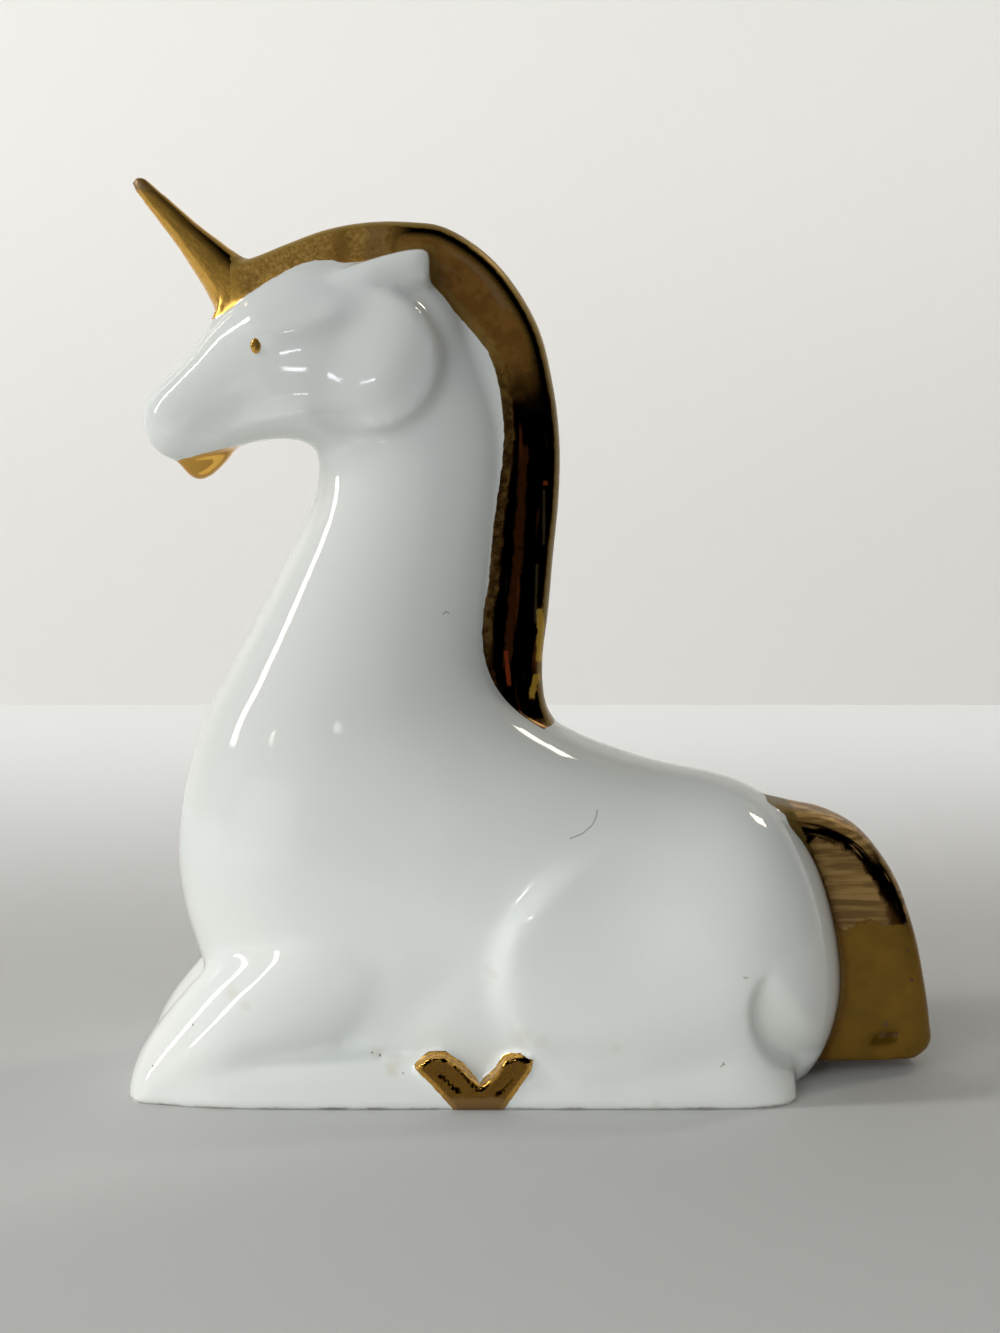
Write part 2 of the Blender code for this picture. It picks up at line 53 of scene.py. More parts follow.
# Neck and trunk.
# The hollow cast body, one smooth swelling form from the throat to the rump. Its ribs turn like a fan, from
# level in the neck to upright in the trunk.
# Each rib: front x, z, back x, z, half-width, share of the way back to its widest place, squareness in front.
TRUNK_RIBS = [
    (-36.5, 112.0, -9.5, 125.0, 9.4, 0.50, 2.1),
    (-37.3, 105.0, -5.2, 112.0, 10.2, 0.50, 2.1),
    (-37.8, 99.5, -5.0, 103.0, 10.9, 0.50, 2.1),
    (-40.2, 93.2, -6.0, 94.5, 12.0, 0.50, 2.1),
    (-43.7, 86.3, -7.0, 86.5, 13.4, 0.50, 2.1),
    (-48.2, 77.8, -8.0, 78.5, 15.2, 0.50, 2.1),
    (-52.7, 69.6, -7.8, 71.5, 17.0, 0.50, 2.1),
    (-56.9, 62.0, -5.2, 65.8, 18.6, 0.49, 2.1),
    (-59.8, 53.2, -1.0, 62.0, 20.0, 0.48, 2.1),
    (-61.7, 44.0, 3.2, 59.6, 21.0, 0.47, 2.1),
    (-62.0, 35.0, 8.5, 57.0, 21.6, 0.46, 2.2),
    (-60.0, 25.0, 14.0, 55.0, 21.9, 0.46, 2.3),
    (-53.0, 8.0, 20.0, 53.2, 21.9, 0.46, 2.5),
    (-36.0, -6.0, 26.0, 52.0, 22.0, 0.46, 2.7),
    (-14.0, -8.0, 30.5, 51.0, 22.4, 0.46, 2.8),
    (8.0, -8.0, 35.2, 49.3, 23.8, 0.47, 2.7),
    (26.0, -7.0, 39.6, 46.6, 24.0, 0.49, 2.4),
    (38.0, -5.0, 43.6, 42.4, 21.6, 0.50, 2.2),
    (45.0, -2.0, 46.9, 36.8, 17.4, 0.50, 2.1),
    (49.0, 4.0, 49.7, 28.0, 12.0, 0.48, 2.0),
    (51.2, 11.0, 51.2, 20.0, 5.4, 0.47, 2.0),
]
BACK_SQUARENESS = 2.1
RIB_STEPS = 5
RIB_SIDES = 48


def curve_through(rows, steps=RIB_STEPS):
    """Rows of numbers, with smooth ones added between each pair."""
    dense = []
    for i in range(len(rows) - 1):
        around = [rows[max(i - 1, 0)], rows[i], rows[i + 1], rows[min(i + 2, len(rows) - 1)]]
        for step in range(steps):
            t = step / steps
            weights = (
                -t + 2 * t ** 2 - t ** 3, 2 - 5 * t ** 2 + 3 * t ** 3,
                t + 4 * t ** 2 - 3 * t ** 3, -t ** 2 + t ** 3,
            )
            dense.append([sum(w * v for w, v in zip(weights, values)) / 2 for values in zip(*around)])
    dense.append(list(rows[-1]))
    return dense


def make_rib(front, back, half_width, squareness=(2.0, 2.0), widest=0.5, distance=0.0):
    return {
        "front": Vector(front), "back": Vector(back), "half_width": half_width,
        "squareness": squareness, "widest": widest, "distance": distance,
    }


def rib_point(rib, angle):
    """Point of a rib's outline. Its ends lie at Y = distance, and its sides at the half-width from there."""
    c, s = math.cos(angle), math.sin(angle)
    square = rib["squareness"][0] if s < 0 else rib["squareness"][1]
    across = math.copysign(abs(c) ** (2 / square), c) * rib["half_width"]
    along = math.copysign(abs(s) ** (2 / square), s)
    share = rib["widest"] * (1 + along) if along < 0 else rib["widest"] + along * (1 - rib["widest"])
    middle = rib["front"].lerp(rib["back"], share)
    return Vector((middle.x, rib["distance"] + across, middle.y)) * MM


def loft(ribs, sides=RIB_SIDES):
    """Closed lump: the outlines of its ribs, bridged one to the next and closed at both ends."""
    bm = bmesh.new()
    rings = []
    for rib in ribs:
        verts = bmesh.ops.create_circle(bm, segments=sides, radius=1.0)["verts"]
        rings.append(list(dict.fromkeys(edge for vert in verts for edge in vert.link_edges)))
        for vert in verts:
            vert.co = rib_point(rib, math.atan2(vert.co.y, vert.co.x))
    for first, second in zip(rings, rings[1:]):
        bmesh.ops.bridge_loops(bm, edges=first + second)
    bmesh.ops.edgeloop_fill(bm, edges=rings[0])
    bmesh.ops.edgeloop_fill(bm, edges=rings[-1])
    bmesh.ops.recalc_face_normals(bm, faces=bm.faces)
    return bm


trunk = loft([
    make_rib((fx, fz), (bx, bz), width, (square, BACK_SQUARENESS), widest)
    for fx, fz, bx, bz, width, widest, square in curve_through(TRUNK_RIBS)
])

# Head.
# Cast with the neck: a long plain wedge from the muzzle to the poll, rounder above than below.
# Each rib: top x, z, underside x, z, half-width.
HEAD_RIBS = [
    (-67.0, 113.0, -66.2, 107.8, 2.8),
    (-65.0, 115.8, -63.4, 104.9, 5.8),
    (-62.0, 118.6, -59.6, 103.8, 7.4),
    (-58.4, 122.4, -54.6, 105.0, 8.2),
    (-55.2, 126.4, -49.6, 106.9, 9.0),
    (-51.3, 130.4, -45.0, 107.8, 10.0),
    (-46.5, 134.0, -40.6, 107.8, 11.0),
    (-40.5, 137.0, -36.0, 106.8, 11.7),
    (-34.0, 138.3, -30.6, 106.8, 11.9),
    (-27.0, 138.4, -25.6, 107.8, 11.6),
    (-20.0, 136.8, -20.6, 110.6, 10.6),
    (-14.5, 132.0, -16.6, 113.6, 9.0),
    (-11.4, 127.2, -13.8, 117.6, 5.4),
]
HEAD_SQUARENESS = (2.9, 2.3)
HEAD_WIDEST = 0.58

head = loft([
    make_rib((ux, uz), (tx, tz), width, HEAD_SQUARENESS, HEAD_WIDEST)
    for tx, tz, ux, uz, width in curve_through(HEAD_RIBS)
])

# The head flows into the neck with no line between them. Running lumps together takes a grain of clay, and a
# length over which their joints are softened.
SOFT_GRAIN = 1.0
SOFT_BLEND = 4.85


def fuse(lumps, grain, blend):
    """One mass from lumps that overlap, with its joints softened over the blend's length."""
    together = bmesh.new()
    for lump in lumps:
        mesh = bpy.data.meshes.new("lump")
        lump.to_mesh(mesh)
        lump.free()
        together.from_mesh(mesh)
        bpy.data.meshes.remove(mesh)
    mesh = bpy.data.meshes.new("clay")
    together.to_mesh(mesh)
    together.free()
    item = bpy.data.objects.new("clay", mesh)
    bpy.context.scene.collection.objects.link(item)
    remesh = item.modifiers.new("clay", "REMESH")
    remesh.mode = "VOXEL"
    remesh.voxel_size = grain * MM
    remesh.adaptivity = 0.0
    smooth = item.modifiers.new("softened", "SMOOTH")
    smooth.factor = 0.5
    smooth.iterations = round((blend / grain) ** 2)
    fused = bpy.data.meshes.new_from_object(item.evaluated_get(bpy.context.evaluated_depsgraph_get()))
    bpy.data.objects.remove(item, do_unlink=True)
    mass = bmesh.new()
    mass.from_mesh(fused)
    bpy.data.meshes.remove(fused)
    return mass


soft = fuse([trunk, head], SOFT_GRAIN, SOFT_BLEND)

# Thighs.
# Folded hind legs in low relief: an oval on each flank whose front stands proud of the belly, and which runs
# out over the croup with no edge.
THIGH_RISE = 2.8
THIGH_LENGTH = 50.0
THIGH_HEIGHT = 41.0
THIGH_CENTRE = (17.5, 21.5)
THIGH_TOWARDS = 200.0
THIGH_FADE = (-0.3, 0.9)
THIGH_RIM = 3.0


def eased(value):
    held = np.clip(value, 0.0, 1.0)
    return held * held * (3 - 2 * held)


def flank(bm):
    """X and Z of every vertex, in millimetres."""
    return np.array([(vert.co.x, vert.co.z) for vert in bm.verts]) / MM


def move_flanks(bm, outwards):
    """Move the skin away from the middle plane, each vertex by its own number of millimetres."""
    for vert, amount in zip(bm.verts, outwards):
        if abs(amount) > 0.01:
            vert.co.y += math.copysign(1.0, vert.co.y) * max(amount * MM, -abs(vert.co.y))


def swell(bm, centre, length, height, rise, towards, fade, rim):
    """Raise an oval of each flank, proud at its rim in one direction (degrees above +X) and fading out."""
    offset = (flank(bm) - np.array(centre)) / np.array([length / 2, height / 2])
    ahead = offset @ np.array([math.cos(math.radians(towards)), math.sin(math.radians(towards))])
    rim_share = 2 * rim / min(length, height)
    inside = eased((1 + rim_share / 2 - np.hypot(offset[:, 0], offset[:, 1])) / rim_share)
    move_flanks(bm, rise * inside * eased((ahead - fade[0]) / (fade[1] - fade[0])))


swell(soft, THIGH_CENTRE, THIGH_LENGTH, THIGH_HEIGHT, THIGH_RISE, THIGH_TOWARDS, THIGH_FADE, THIGH_RIM)

# Forelegs.
# Folded under the chest: the upper legs slope down to the knees as round tubes, and between them lies a web
# of clay, set back from their fronts.
# Each rib: front x, z, back x, z, half-width, distance from the middle plane.
FOREARM_RIBS = [
    (-41.0, 43.0, -12.0, 43.0, 8.0, 9.8),
    (-43.5, 34.5, -11.0, 31.0, 10.0, 10.7),
    (-49.5, 26.3, -16.0, 18.0, 11.2, 11.0),
    (-56.5, 19.8, -29.0, 8.5, 11.8, 11.3),
    (-61.9, 13.8, -45.5, 1.0, 12.0, 11.1),
    (-65.8, 8.8, -57.0, -3.0, 11.6, 10.9),
    (-68.2, 4.4, -62.0, -5.0, 11.0, 11.1),
    (-69.3, 0.0, -64.0, -6.5, 10.5, 11.2),
]
FOREARM_SQUARENESS = (2.1, 2.1)
LEG_SQUARENESS = (2.4, 2.4)
KNEE_GROOVE = 3.6
KNEE_WEB_WIDTH = 18.0
KNEE_WEB_REACH = 10.0
KNEE_WEB_SQUARENESS = (2.6, 2.6)


def both_sides(bm):
    """The lump on the near flank and its mirror image on the far one."""
    bmesh.ops.mirror(bm, geom=bm.verts[:] + bm.edges[:] + bm.faces[:], axis="Y", merge_dist=0.0)
    bmesh.ops.recalc_face_normals(bm, faces=bm.faces)
    return bm


def side_lump(rows, squareness=LEG_SQUARENESS):
    return both_sides(loft([
        make_rib(row[0:2], row[2:4], row[4], squareness, distance=-row[5]) for row in curve_through(rows)
    ]))


forearms = side_lump(FOREARM_RIBS, FOREARM_SQUARENESS)
knee_web = loft([
    make_rib(
        (fx + KNEE_GROOVE, fz - KNEE_GROOVE / 2), (bx + KNEE_WEB_REACH, bz), KNEE_WEB_WIDTH / 2,
        KNEE_WEB_SQUARENESS,
    )
    for fx, fz, bx, bz, _, _ in curve_through(FOREARM_RIBS)
])

# Lower legs.
# They lie along the table on both sides, toe to toe, and carry the figure. Ribs as for the upper forelegs.
FORE_CANNON_RIBS = [
    (-64.0, 8.0, -64.0, -8.0, 6.2, 15.8),
    (-54.0, 8.8, -54.0, -8.0, 7.4, 16.6),
    (-40.0, 9.3, -40.0, -8.0, 7.7, 16.8),
    (-26.0, 9.3, -26.0, -8.0, 7.7, 16.8),
    (-17.0, 9.4, -17.0, -8.0, 7.6, 16.8),
    (-11.5, 5.6, -13.0, -8.0, 7.2, 16.8),
]
HIND_CANNON_RIBS = [
    (-9.4, 4.0, -8.0, -8.0, 7.0, 16.8),
    (-4.0, 9.0, -4.0, -8.0, 7.6, 16.8),
    (8.0, 9.2, 8.0, -8.0, 7.7, 16.8),
    (22.0, 9.6, 22.0, -8.0, 7.7, 16.8),
    (32.0, 11.6, 34.0, -8.0, 7.6, 16.6),
    (38.0, 9.6, 39.6, -8.0, 7.0, 16.0),
    (41.8, 5.4, 42.4, -8.0, 5.4, 15.0),
]
LIMB_GRAIN = 0.8
LIMB_BLEND = 2.91

cannons = [side_lump(FORE_CANNON_RIBS), side_lump(HIND_CANNON_RIBS)]
limbs = fuse([soft, knee_web, forearms] + cannons, LIMB_GRAIN, LIMB_BLEND)

# Hocks.
# Behind each hock the buttock is set back, under a crisp edge that curves down to the foot and fades upwards.
HOCK_DEPTH = 3.4
HOCK_CENTRE = (44.5, 16.0)
HOCK_LENGTH = 21.0
HOCK_HEIGHT = 22.0
HOCK_TOWARDS = 216.0
HOCK_FADE = (0.12, 0.85)
HOCK_RIM = 1.6

swell(limbs, HOCK_CENTRE, HOCK_LENGTH, HOCK_HEIGHT, -HOCK_DEPTH, HOCK_TOWARDS, HOCK_FADE, HOCK_RIM)

# Creases.
# Pressed into the clay beside the legs with a round tool. The jaw and the brow are ridges, of negative depth.
# Each: line x, z, depth, reach to the left of the line and reach to its right.
ELBOW_CREASE = ([(-12.0, 25.0), (-17.0, 19.4), (-23.0, 14.4), (-31.5, 10.2)], 0.5, 3.0, 5.0)
FORE_CANNON_CREASE = ([(-23.4, 8.8), (-31.5, 8.9), (-39.8, 8.4), (-47.0, 7.5), (-53.8, 6.2)], 0.8, 1.3, 2.2)
HIND_CANNON_CREASE = ([(18.5, 8.8), (10.0, 8.6), (4.0, 9.2), (-1.0, 11.6)], 0.5, 1.6, 2.4)
JAW_RIDGE = (
    [(-29.5, 109.4), (-34.0, 111.0), (-40.0, 111.8), (-47.0, 109.6), (-53.0, 106.8), (-60.0, 103.0)],
    -1.5, 5.0, 2.2,
)
CREASE_ENDS = 0.3


def line_distances(points, line):
    """For each point: distance to the line, side of it (+1 is left) and share of the way along it."""
    line = np.array(line, float)
    starts, steps = line[:-1], np.diff(line, axis=0)
    lengths = np.hypot(steps[:, 0], steps[:, 1])
    away = points[:, None, :] - starts[None, :, :]
    share = np.clip((away * steps).sum(2) / lengths ** 2, 0.0, 1.0)
    gap = away - share[:, :, None] * steps[None, :, :]
    distance = np.hypot(gap[:, :, 0], gap[:, :, 1])
    near = distance.argmin(1)
    rows = np.arange(len(points))
    side = np.sign(steps[near, 0] * away[rows, near, 1] - steps[near, 1] * away[rows, near, 0])
    before = np.concatenate([[0.0], np.cumsum(lengths)])[near]
    return distance[rows, near], side, (before + share[rows, near] * lengths[near]) / lengths.sum()


def press(bm, crease):
    """Push the flank towards the middle plane along a crease."""
    line, depth, left_reach, right_reach = crease
    line = curve_through(line)
    distance, side, along = line_distances(flank(bm), line)
    reach = np.where(side > 0, left_reach, right_reach)
    ends = eased(np.minimum(along, 1 - along) / CREASE_ENDS)
    move_flanks(bm, -depth * np.exp(-(distance / reach) ** 2) * ends)


for crease in (ELBOW_CREASE, FORE_CANNON_CREASE, HIND_CANNON_CREASE, JAW_RIDGE):
    press(limbs, crease)

# Cheeks.
# A round swelling on each side of the head: its front runs into the face, and its rear rim stands proud of
# the neck.
CHEEK_RISE = 2.5
CHEEK_DIAMETER = 23.0
CHEEK_CENTRE = (-28.0, 121.0)
CHEEK_TOWARDS = -15.0
CHEEK_FADE = (-0.6, 0.6)
CHEEK_RIM = 1.6

swell(
    limbs, CHEEK_CENTRE, CHEEK_DIAMETER, CHEEK_DIAMETER, CHEEK_RISE, CHEEK_TOWARDS, CHEEK_FADE, CHEEK_RIM,
)

# Ears.
# Laid back along the poll and cut off square behind, over a shallow valley that divides the brow from the
# cheek.
# Each rib: upper x, z, lower x, z, half-width, distance from the middle plane.
EAR_RIBS = [
    (-38.5, 133.2, -37.5, 130.4, 1.4, 7.4),
    (-34.0, 134.9, -33.0, 130.2, 2.2, 7.8),
    (-29.0, 136.6, -28.5, 130.6, 3.1, 7.9),
    (-24.0, 138.0, -24.0, 132.0, 3.2, 7.9),
    (-20.4, 138.6, -20.4, 132.8, 3.1, 7.9),
    (-18.4, 138.5, -18.4, 133.1, 2.7, 7.8),
]
EAR_SQUARENESS = (2.6, 2.6)
BROW_RIDGE = (
    [(-27.5, 131.2), (-32.5, 128.9), (-37.0, 127.0), (-42.4, 126.0), (-47.2, 125.9), (-52.5, 124.6)],
    -0.8, 2.4, 2.4,
)

ears = side_lump(EAR_RIBS, EAR_SQUARENESS)

# Horn.
# A plain slender cone, drawn up out of the forehead, that flares where it meets the brow and the forelock.
# The profile gives the share of its length and the share of its base diameter.
HORN_LENGTH = 25.5
HORN_LEAN = 43.0
HORN_BASE_DIAMETER = 9.4
HORN_FLARE_DIAMETER = 15.0
HORN_TIP_DIAMETER = 2.7
HORN_SEAT = (-49.6, 131.8)
HORN_PROFILE = [(-0.08, 1.34), (0.06, 1.06), (0.2, 0.84), (0.5, 0.54), (0.8, 0.37)]
HORN_ROOT = 6.0
HORN_TIP = [(0.5, 1.0), (0.2, 0.8), (0.0, 0.4)]

horn_axis = Vector((-math.sin(math.radians(HORN_LEAN)), math.cos(math.radians(HORN_LEAN))))
horn_across = Vector((-horn_axis.y, horn_axis.x))
horn_stations = [(-HORN_ROOT, HORN_FLARE_DIAMETER)]
horn_stations += [(share * HORN_LENGTH, size * HORN_BASE_DIAMETER) for share, size in HORN_PROFILE]
horn_stations += [
    (HORN_LENGTH - HORN_TIP_DIAMETER * back, HORN_TIP_DIAMETER * size) for back, size in HORN_TIP
]
horn = loft([
    make_rib(
        Vector(HORN_SEAT) + horn_axis * along + horn_across * diameter / 2,
        Vector(HORN_SEAT) + horn_axis * along - horn_across * diameter / 2, diameter / 2,
    )
    for along, diameter in horn_stations
])

# Beard.
# A small gilded tuft under the chin. Each rib: upper x, z, lower x, z, share of the beard's half-thickness.
BEARD_RIBS = [
    (-60.6, 106.0, -60.2, 103.2, 0.62),
    (-58.4, 107.0, -58.4, 101.4, 0.95),
    (-56.4, 107.6, -56.2, 101.3, 1.0),
    (-53.6, 108.4, -53.4, 103.4, 0.9),
    (-50.6, 109.4, -50.8, 106.6, 0.6),
]
BEARD_THICKNESS = 6.5

beard = loft([
    make_rib(row[0:2], row[2:4], row[4] * BEARD_THICKNESS / 2) for row in curve_through(BEARD_RIBS)
])

# Hooves.
# Fore and hind hoof meet toe to toe on each flank and stand just proud of the legs as a gilded V.
HOOF_OUTLINE = [
    (-20.8, 7.2), (-18.6, 8.9), (-15.9, 9.0), (-13.2, 7.0), (-10.3, 3.8),
    (-7.9, 5.8), (-6.2, 8.6), (-3.8, 9.1), (-1.9, 8.2), (-2.2, 6.6),
    (-5.2, 2.4), (-6.6, 0.2), (-6.6, -2.0), (-14.6, -2.0), (-14.6, 0.6), (-17.8, 4.4),
]
HOOF_DEPTH = 6.0
HOOF_FACE = 24.6

hooves = bmesh.new()
hoof_face = hooves.faces.new([hooves.verts.new(Vector((x, -HOOF_FACE, z)) * MM) for x, z in HOOF_OUTLINE])
hoof_back = bmesh.ops.extrude_face_region(hooves, geom=[hoof_face])["geom"]
hoof_back = [part for part in hoof_back if isinstance(part, bmesh.types.BMVert)]
bmesh.ops.translate(hooves, verts=hoof_back, vec=(0.0, HOOF_DEPTH * MM, 0.0))
both_sides(hooves)

# Mane.
# A flat crest with rounded edges that stands on the neck from the horn to the withers.
# Each rib: line along the neck x, z and outer line x, z.
MANE_RIBS = [
    (-54.8, 126.6, -49.8, 136.9),
    (-51.2, 129.0, -46.6, 137.9),
    (-45.6, 133.0, -41.8, 139.8),
    (-39.6, 136.0, -35.6, 142.0),
    (-33.0, 136.6, -29.0, 143.2),
    (-26.0, 136.6, -22.0, 143.3),
    (-19.6, 135.2, -15.2, 142.1),
    (-14.0, 129.6, -7.2, 136.3),
    (-9.6, 122.8, -1.0, 127.0),
    (-7.4, 116.0, 1.7, 117.3),
    (-6.4, 108.0, 2.9, 107.8),
    (-7.0, 99.4, 2.8, 98.4),
    (-8.4, 89.3, 1.9, 88.6),
    (-9.6, 79.8, 1.1, 79.2),
    (-9.8, 71.6, 0.2, 71.6),
    (-8.6, 65.6, 0.3, 66.0),
    (-5.0, 61.6, 1.1, 62.2),
    (-0.6, 59.0, 2.4, 60.0),
]
MANE_THICKNESS = 11.0
MANE_FRONT_THICKNESS = 9.0
MANE_FRONT_SHARE = 0.4
BAND_ROOT = 5.0
BAND_SQUARENESS = (5.0, 5.0)


def band(rows, front_thickness, thickness):
    """Flat band with rounded edges that stands on the body along its inner line."""
    dense = curve_through(rows)
    ribs = []
    for i, row in enumerate(dense):
        inner, outer = Vector(row[0:2]), Vector(row[2:4])
        share = min(1.0, i / (len(dense) * MANE_FRONT_SHARE))
        half = (front_thickness * (1 - share) + thickness * share) / 2
        ribs.append(make_rib(inner - (outer - inner).normalized() * BAND_ROOT, outer, half, BAND_SQUARENESS))
    return loft(ribs)


mane = band(MANE_RIBS, MANE_FRONT_THICKNESS, MANE_THICKNESS)

# Tail.
# A second crest, which hangs from the croup to the table. Ribs as for the mane.
TAIL_RIBS = [
    (37.4, 45.4, 38.6, 46.9),
    (40.6, 43.2, 43.4, 45.8),
    (43.6, 39.4, 48.9, 44.6),
    (46.0, 34.0, 55.0, 41.1),
    (48.2, 28.2, 60.4, 33.9),
    (49.6, 22.4, 64.0, 24.4),
    (50.4, 16.4, 66.0, 15.6),
    (50.0, 10.6, 67.2, 8.0),
    (48.6, 5.6, 67.4, 4.2),
    (47.0, 1.6, 65.2, 2.0),
]
TAIL_THICKNESS = 11.0

tail = band(TAIL_RIBS, TAIL_THICKNESS, TAIL_THICKNESS)

# Whole model.
# The crisp parts are set on the body, whose joints with them stay tight.
CRISP_GRAIN = 0.68
CRISP_BLEND = 1.47

# The hooves' faces are pressed hollow along their arms, the tail carries a small dimple near the table, and
# the edge at the table is rounded over, up to where the underside starts.
HOOF_HOLLOWS = (
    ([(-18.6, 7.4), (-15.9, 6.4), (-12.6, 2.6)], 0.5, 0.9, 0.9),
    ([(-3.6, 7.6), (-6.0, 5.2), (-8.4, 2.0)], 0.5, 0.9, 0.9),
)
TAIL_DIMPLE = ([(55.5, 5.5), (58.9, 6.2), (61.9, 6.5)], 0.9, 0.6, 0.6)
FOOT_ROUNDING = 1.1
FOOT_ROUNDING_FROM = 6.0

figure = fuse([limbs, ears, horn, beard, hooves, mane, tail], CRISP_GRAIN, CRISP_BLEND)
for crease in (BROW_RIDGE, TAIL_DIMPLE) + HOOF_HOLLOWS:
    press(figure, crease)
above_table = np.clip(flank(figure)[:, 1] / FOOT_ROUNDING, 0.0, 1.0)
middle_distance = np.array([abs(vert.co.y) for vert in figure.verts]) / MM
outer_side = eased((middle_distance - FOOT_ROUNDING_FROM) / FOOT_ROUNDING_FROM)
move_flanks(figure, -FOOT_ROUNDING * (1 - above_table) ** 3 * outer_side)

cad_low, cad_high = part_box("unicorn")
front_end = min(vert.co.x for vert in figure.verts)
rear_end = max(vert.co.x for vert in figure.verts)
shift = (cad_low.x + cad_high.x - front_end - rear_end) / 2
bmesh.ops.translate(figure, verts=figure.verts, vec=(shift, 0.0, 0.0))

# Eyes.
# A drop of raised gilding on each side of the head.
EYE_WIDTH = 1.7
EYE_HEIGHT = 2.4
EYE_PROUD = 0.5
EYE_PLACE = (-46.3, 123.1)

skin = BVHTree.FromBMesh(figure)
eyes = bmesh.new()
for side in (-1, 1):
    start = Vector((EYE_PLACE[0] * MM + shift, side * CHEEK_DIAMETER * MM, EYE_PLACE[1] * MM))
    seat = skin.ray_cast(start, Vector((0.0, -side, 0.0)))[0]
    bead = bmesh.ops.create_uvsphere(eyes, u_segments=32, v_segments=16, radius=1.0)["verts"]
    bmesh.ops.scale(eyes, verts=bead, vec=(EYE_WIDTH / 2 * MM, EYE_PROUD * MM, EYE_HEIGHT / 2 * MM))
    bmesh.ops.translate(eyes, verts=bead, vec=seat)

# Casting.
# Slip is poured out of the mould once a wall has set, which leaves the inside hollow. The foot is rubbed
# flat, and a vent in it lets the air out in the kiln.
WALL = 3.6
VENT_DIAMETER = 9.0
VENT_X = 2.0
CORE_TOP = 97.0
GROUND_LENGTH = 200.0
GROUND_WIDTH = 100.0
GROUND_DEPTH = 30.0

core_ribs = []
rump_end = TRUNK_RIBS[-1][0] - WALL
for fx, fz, bx, bz, width, widest, square in curve_through(TRUNK_RIBS):
    front, back = Vector((fx, fz)), Vector((bx, bz))
    inward = (back - front).normalized() * WALL
    front, back = front + inward, back - inward
    if width < 2 * WALL or front.y > CORE_TOP:
        continue
    front = Vector((min(front.x, rump_end), max(front.y, WALL)))
    back.x = min(back.x, rump_end)
    core_ribs.append(make_rib(front, back, width - WALL, (square, BACK_SQUARENESS), widest))
core = loft(core_ribs, 32)

vent = bmesh.new()
bmesh.ops.create_cone(
    vent, cap_ends=True, segments=32, radius1=VENT_DIAMETER / 2 * MM, radius2=VENT_DIAMETER / 2 * MM,
    depth=4 * WALL * MM,
)
bmesh.ops.translate(vent, verts=vent.verts, vec=(VENT_X * MM, 0.0, 0.0))
for cutter in (core, vent):
    bmesh.ops.translate(cutter, verts=cutter.verts, vec=(shift, 0.0, 0.0))

ground = bmesh.new()
bmesh.ops.create_cube(ground, size=1.0)
for vert in ground.verts:
    vert.co = Vector((
        vert.co.x * GROUND_LENGTH, vert.co.y * GROUND_WIDTH, (vert.co.z - 0.5) * GROUND_DEPTH,
    )) * MM


def as_object(bm, name):
    mesh = bpy.data.meshes.new(name)
    bm.to_mesh(mesh)
    bm.free()
    item = bpy.data.objects.new(name, mesh)
    bpy.context.scene.collection.objects.link(item)
    return item


unicorn = as_object(figure, "unicorn_casting")
cutters = []
for name, shape, operation in (
    ("eyes", eyes, "UNION"), ("flat foot", ground, "DIFFERENCE"), ("hollow", core, "DIFFERENCE"),
    ("vent", vent, "DIFFERENCE"),
):
    cutters.append(as_object(shape, name))
    boolean = unicorn.modifiers.new(name, "BOOLEAN")
    boolean.operation = operation
    boolean.solver = "EXACT"
    boolean.object = cutters[-1]
finished = bpy.data.meshes.new_from_object(unicorn.evaluated_get(bpy.context.evaluated_depsgraph_get()))
unicorn.modifiers.clear()
unicorn.data = finished
unicorn.data.name = "unicorn_casting"
for cutter in cutters:
    bpy.data.objects.remove(cutter, do_unlink=True)
unicorn.data.shade_smooth()
unicorn.data.set_sharp_from_angle(angle=math.radians(50.0))

# Gilding.
# Liquid bright gold is brushed over the fired glaze and fired again. Each outline encloses what is gilded as
# seen from the side. On mane and tail the brush goes a little past their thickness, and the horn is gilt all
# round.
MANE_GILDING = [
    (-53.9, 127.5), (-51.7, 128.6), (-48.4, 131.1), (-45.0, 133.4), (-41.7, 135.3), (-39.2, 136.4),
    (-37.0, 136.9), (-34.2, 136.9), (-31.8, 136.3), (-29.8, 136.0), (-28.1, 136.4), (-25.2, 137.4),
    (-22.7, 138.1), (-21.0, 138.2), (-18.9, 137.7), (-18.7, 135.6), (-19.1, 133.4), (-18.1, 132.1),
    (-16.1, 130.3), (-13.6, 127.8), (-11.1, 125.0), (-9.0, 122.3), (-7.8, 119.3), (-7.0, 116.0),
    (-6.5, 111.9), (-6.3, 108.6), (-6.7, 103.6), (-7.3, 99.4), (-8.0, 94.4), (-8.5, 89.3), (-8.9, 84.2),
    (-9.7, 80.0), (-10.0, 75.8), (-9.7, 70.6), (-9.0, 66.3), (-7.5, 63.2), (-5.3, 61.2), (-2.7, 60.0),
    (-0.5, 59.6), (1.9, 60.3), (14.0, 62.0), (14.0, 160.0), (-80.0, 160.0), (-80.0, 127.5),
]
TAIL_GILDING = [
    (38.2, 47.0), (41.0, 45.1), (43.6, 39.1), (45.8, 33.9), (47.6, 28.7), (49.1, 23.4), (49.9, 18.2),
    (49.8, 12.9), (48.7, 8.5), (46.9, 4.1), (45.3, 1.2), (45.0, -4.0), (80.0, -4.0), (80.0, 60.0),
    (38.0, 60.0),
]
BEARD_GILDING = [
    (-60.9, 104.3), (-57.5, 105.2), (-53.8, 106.2), (-49.6, 107.0), (-48.0, 98.0), (-63.0, 98.0),
]
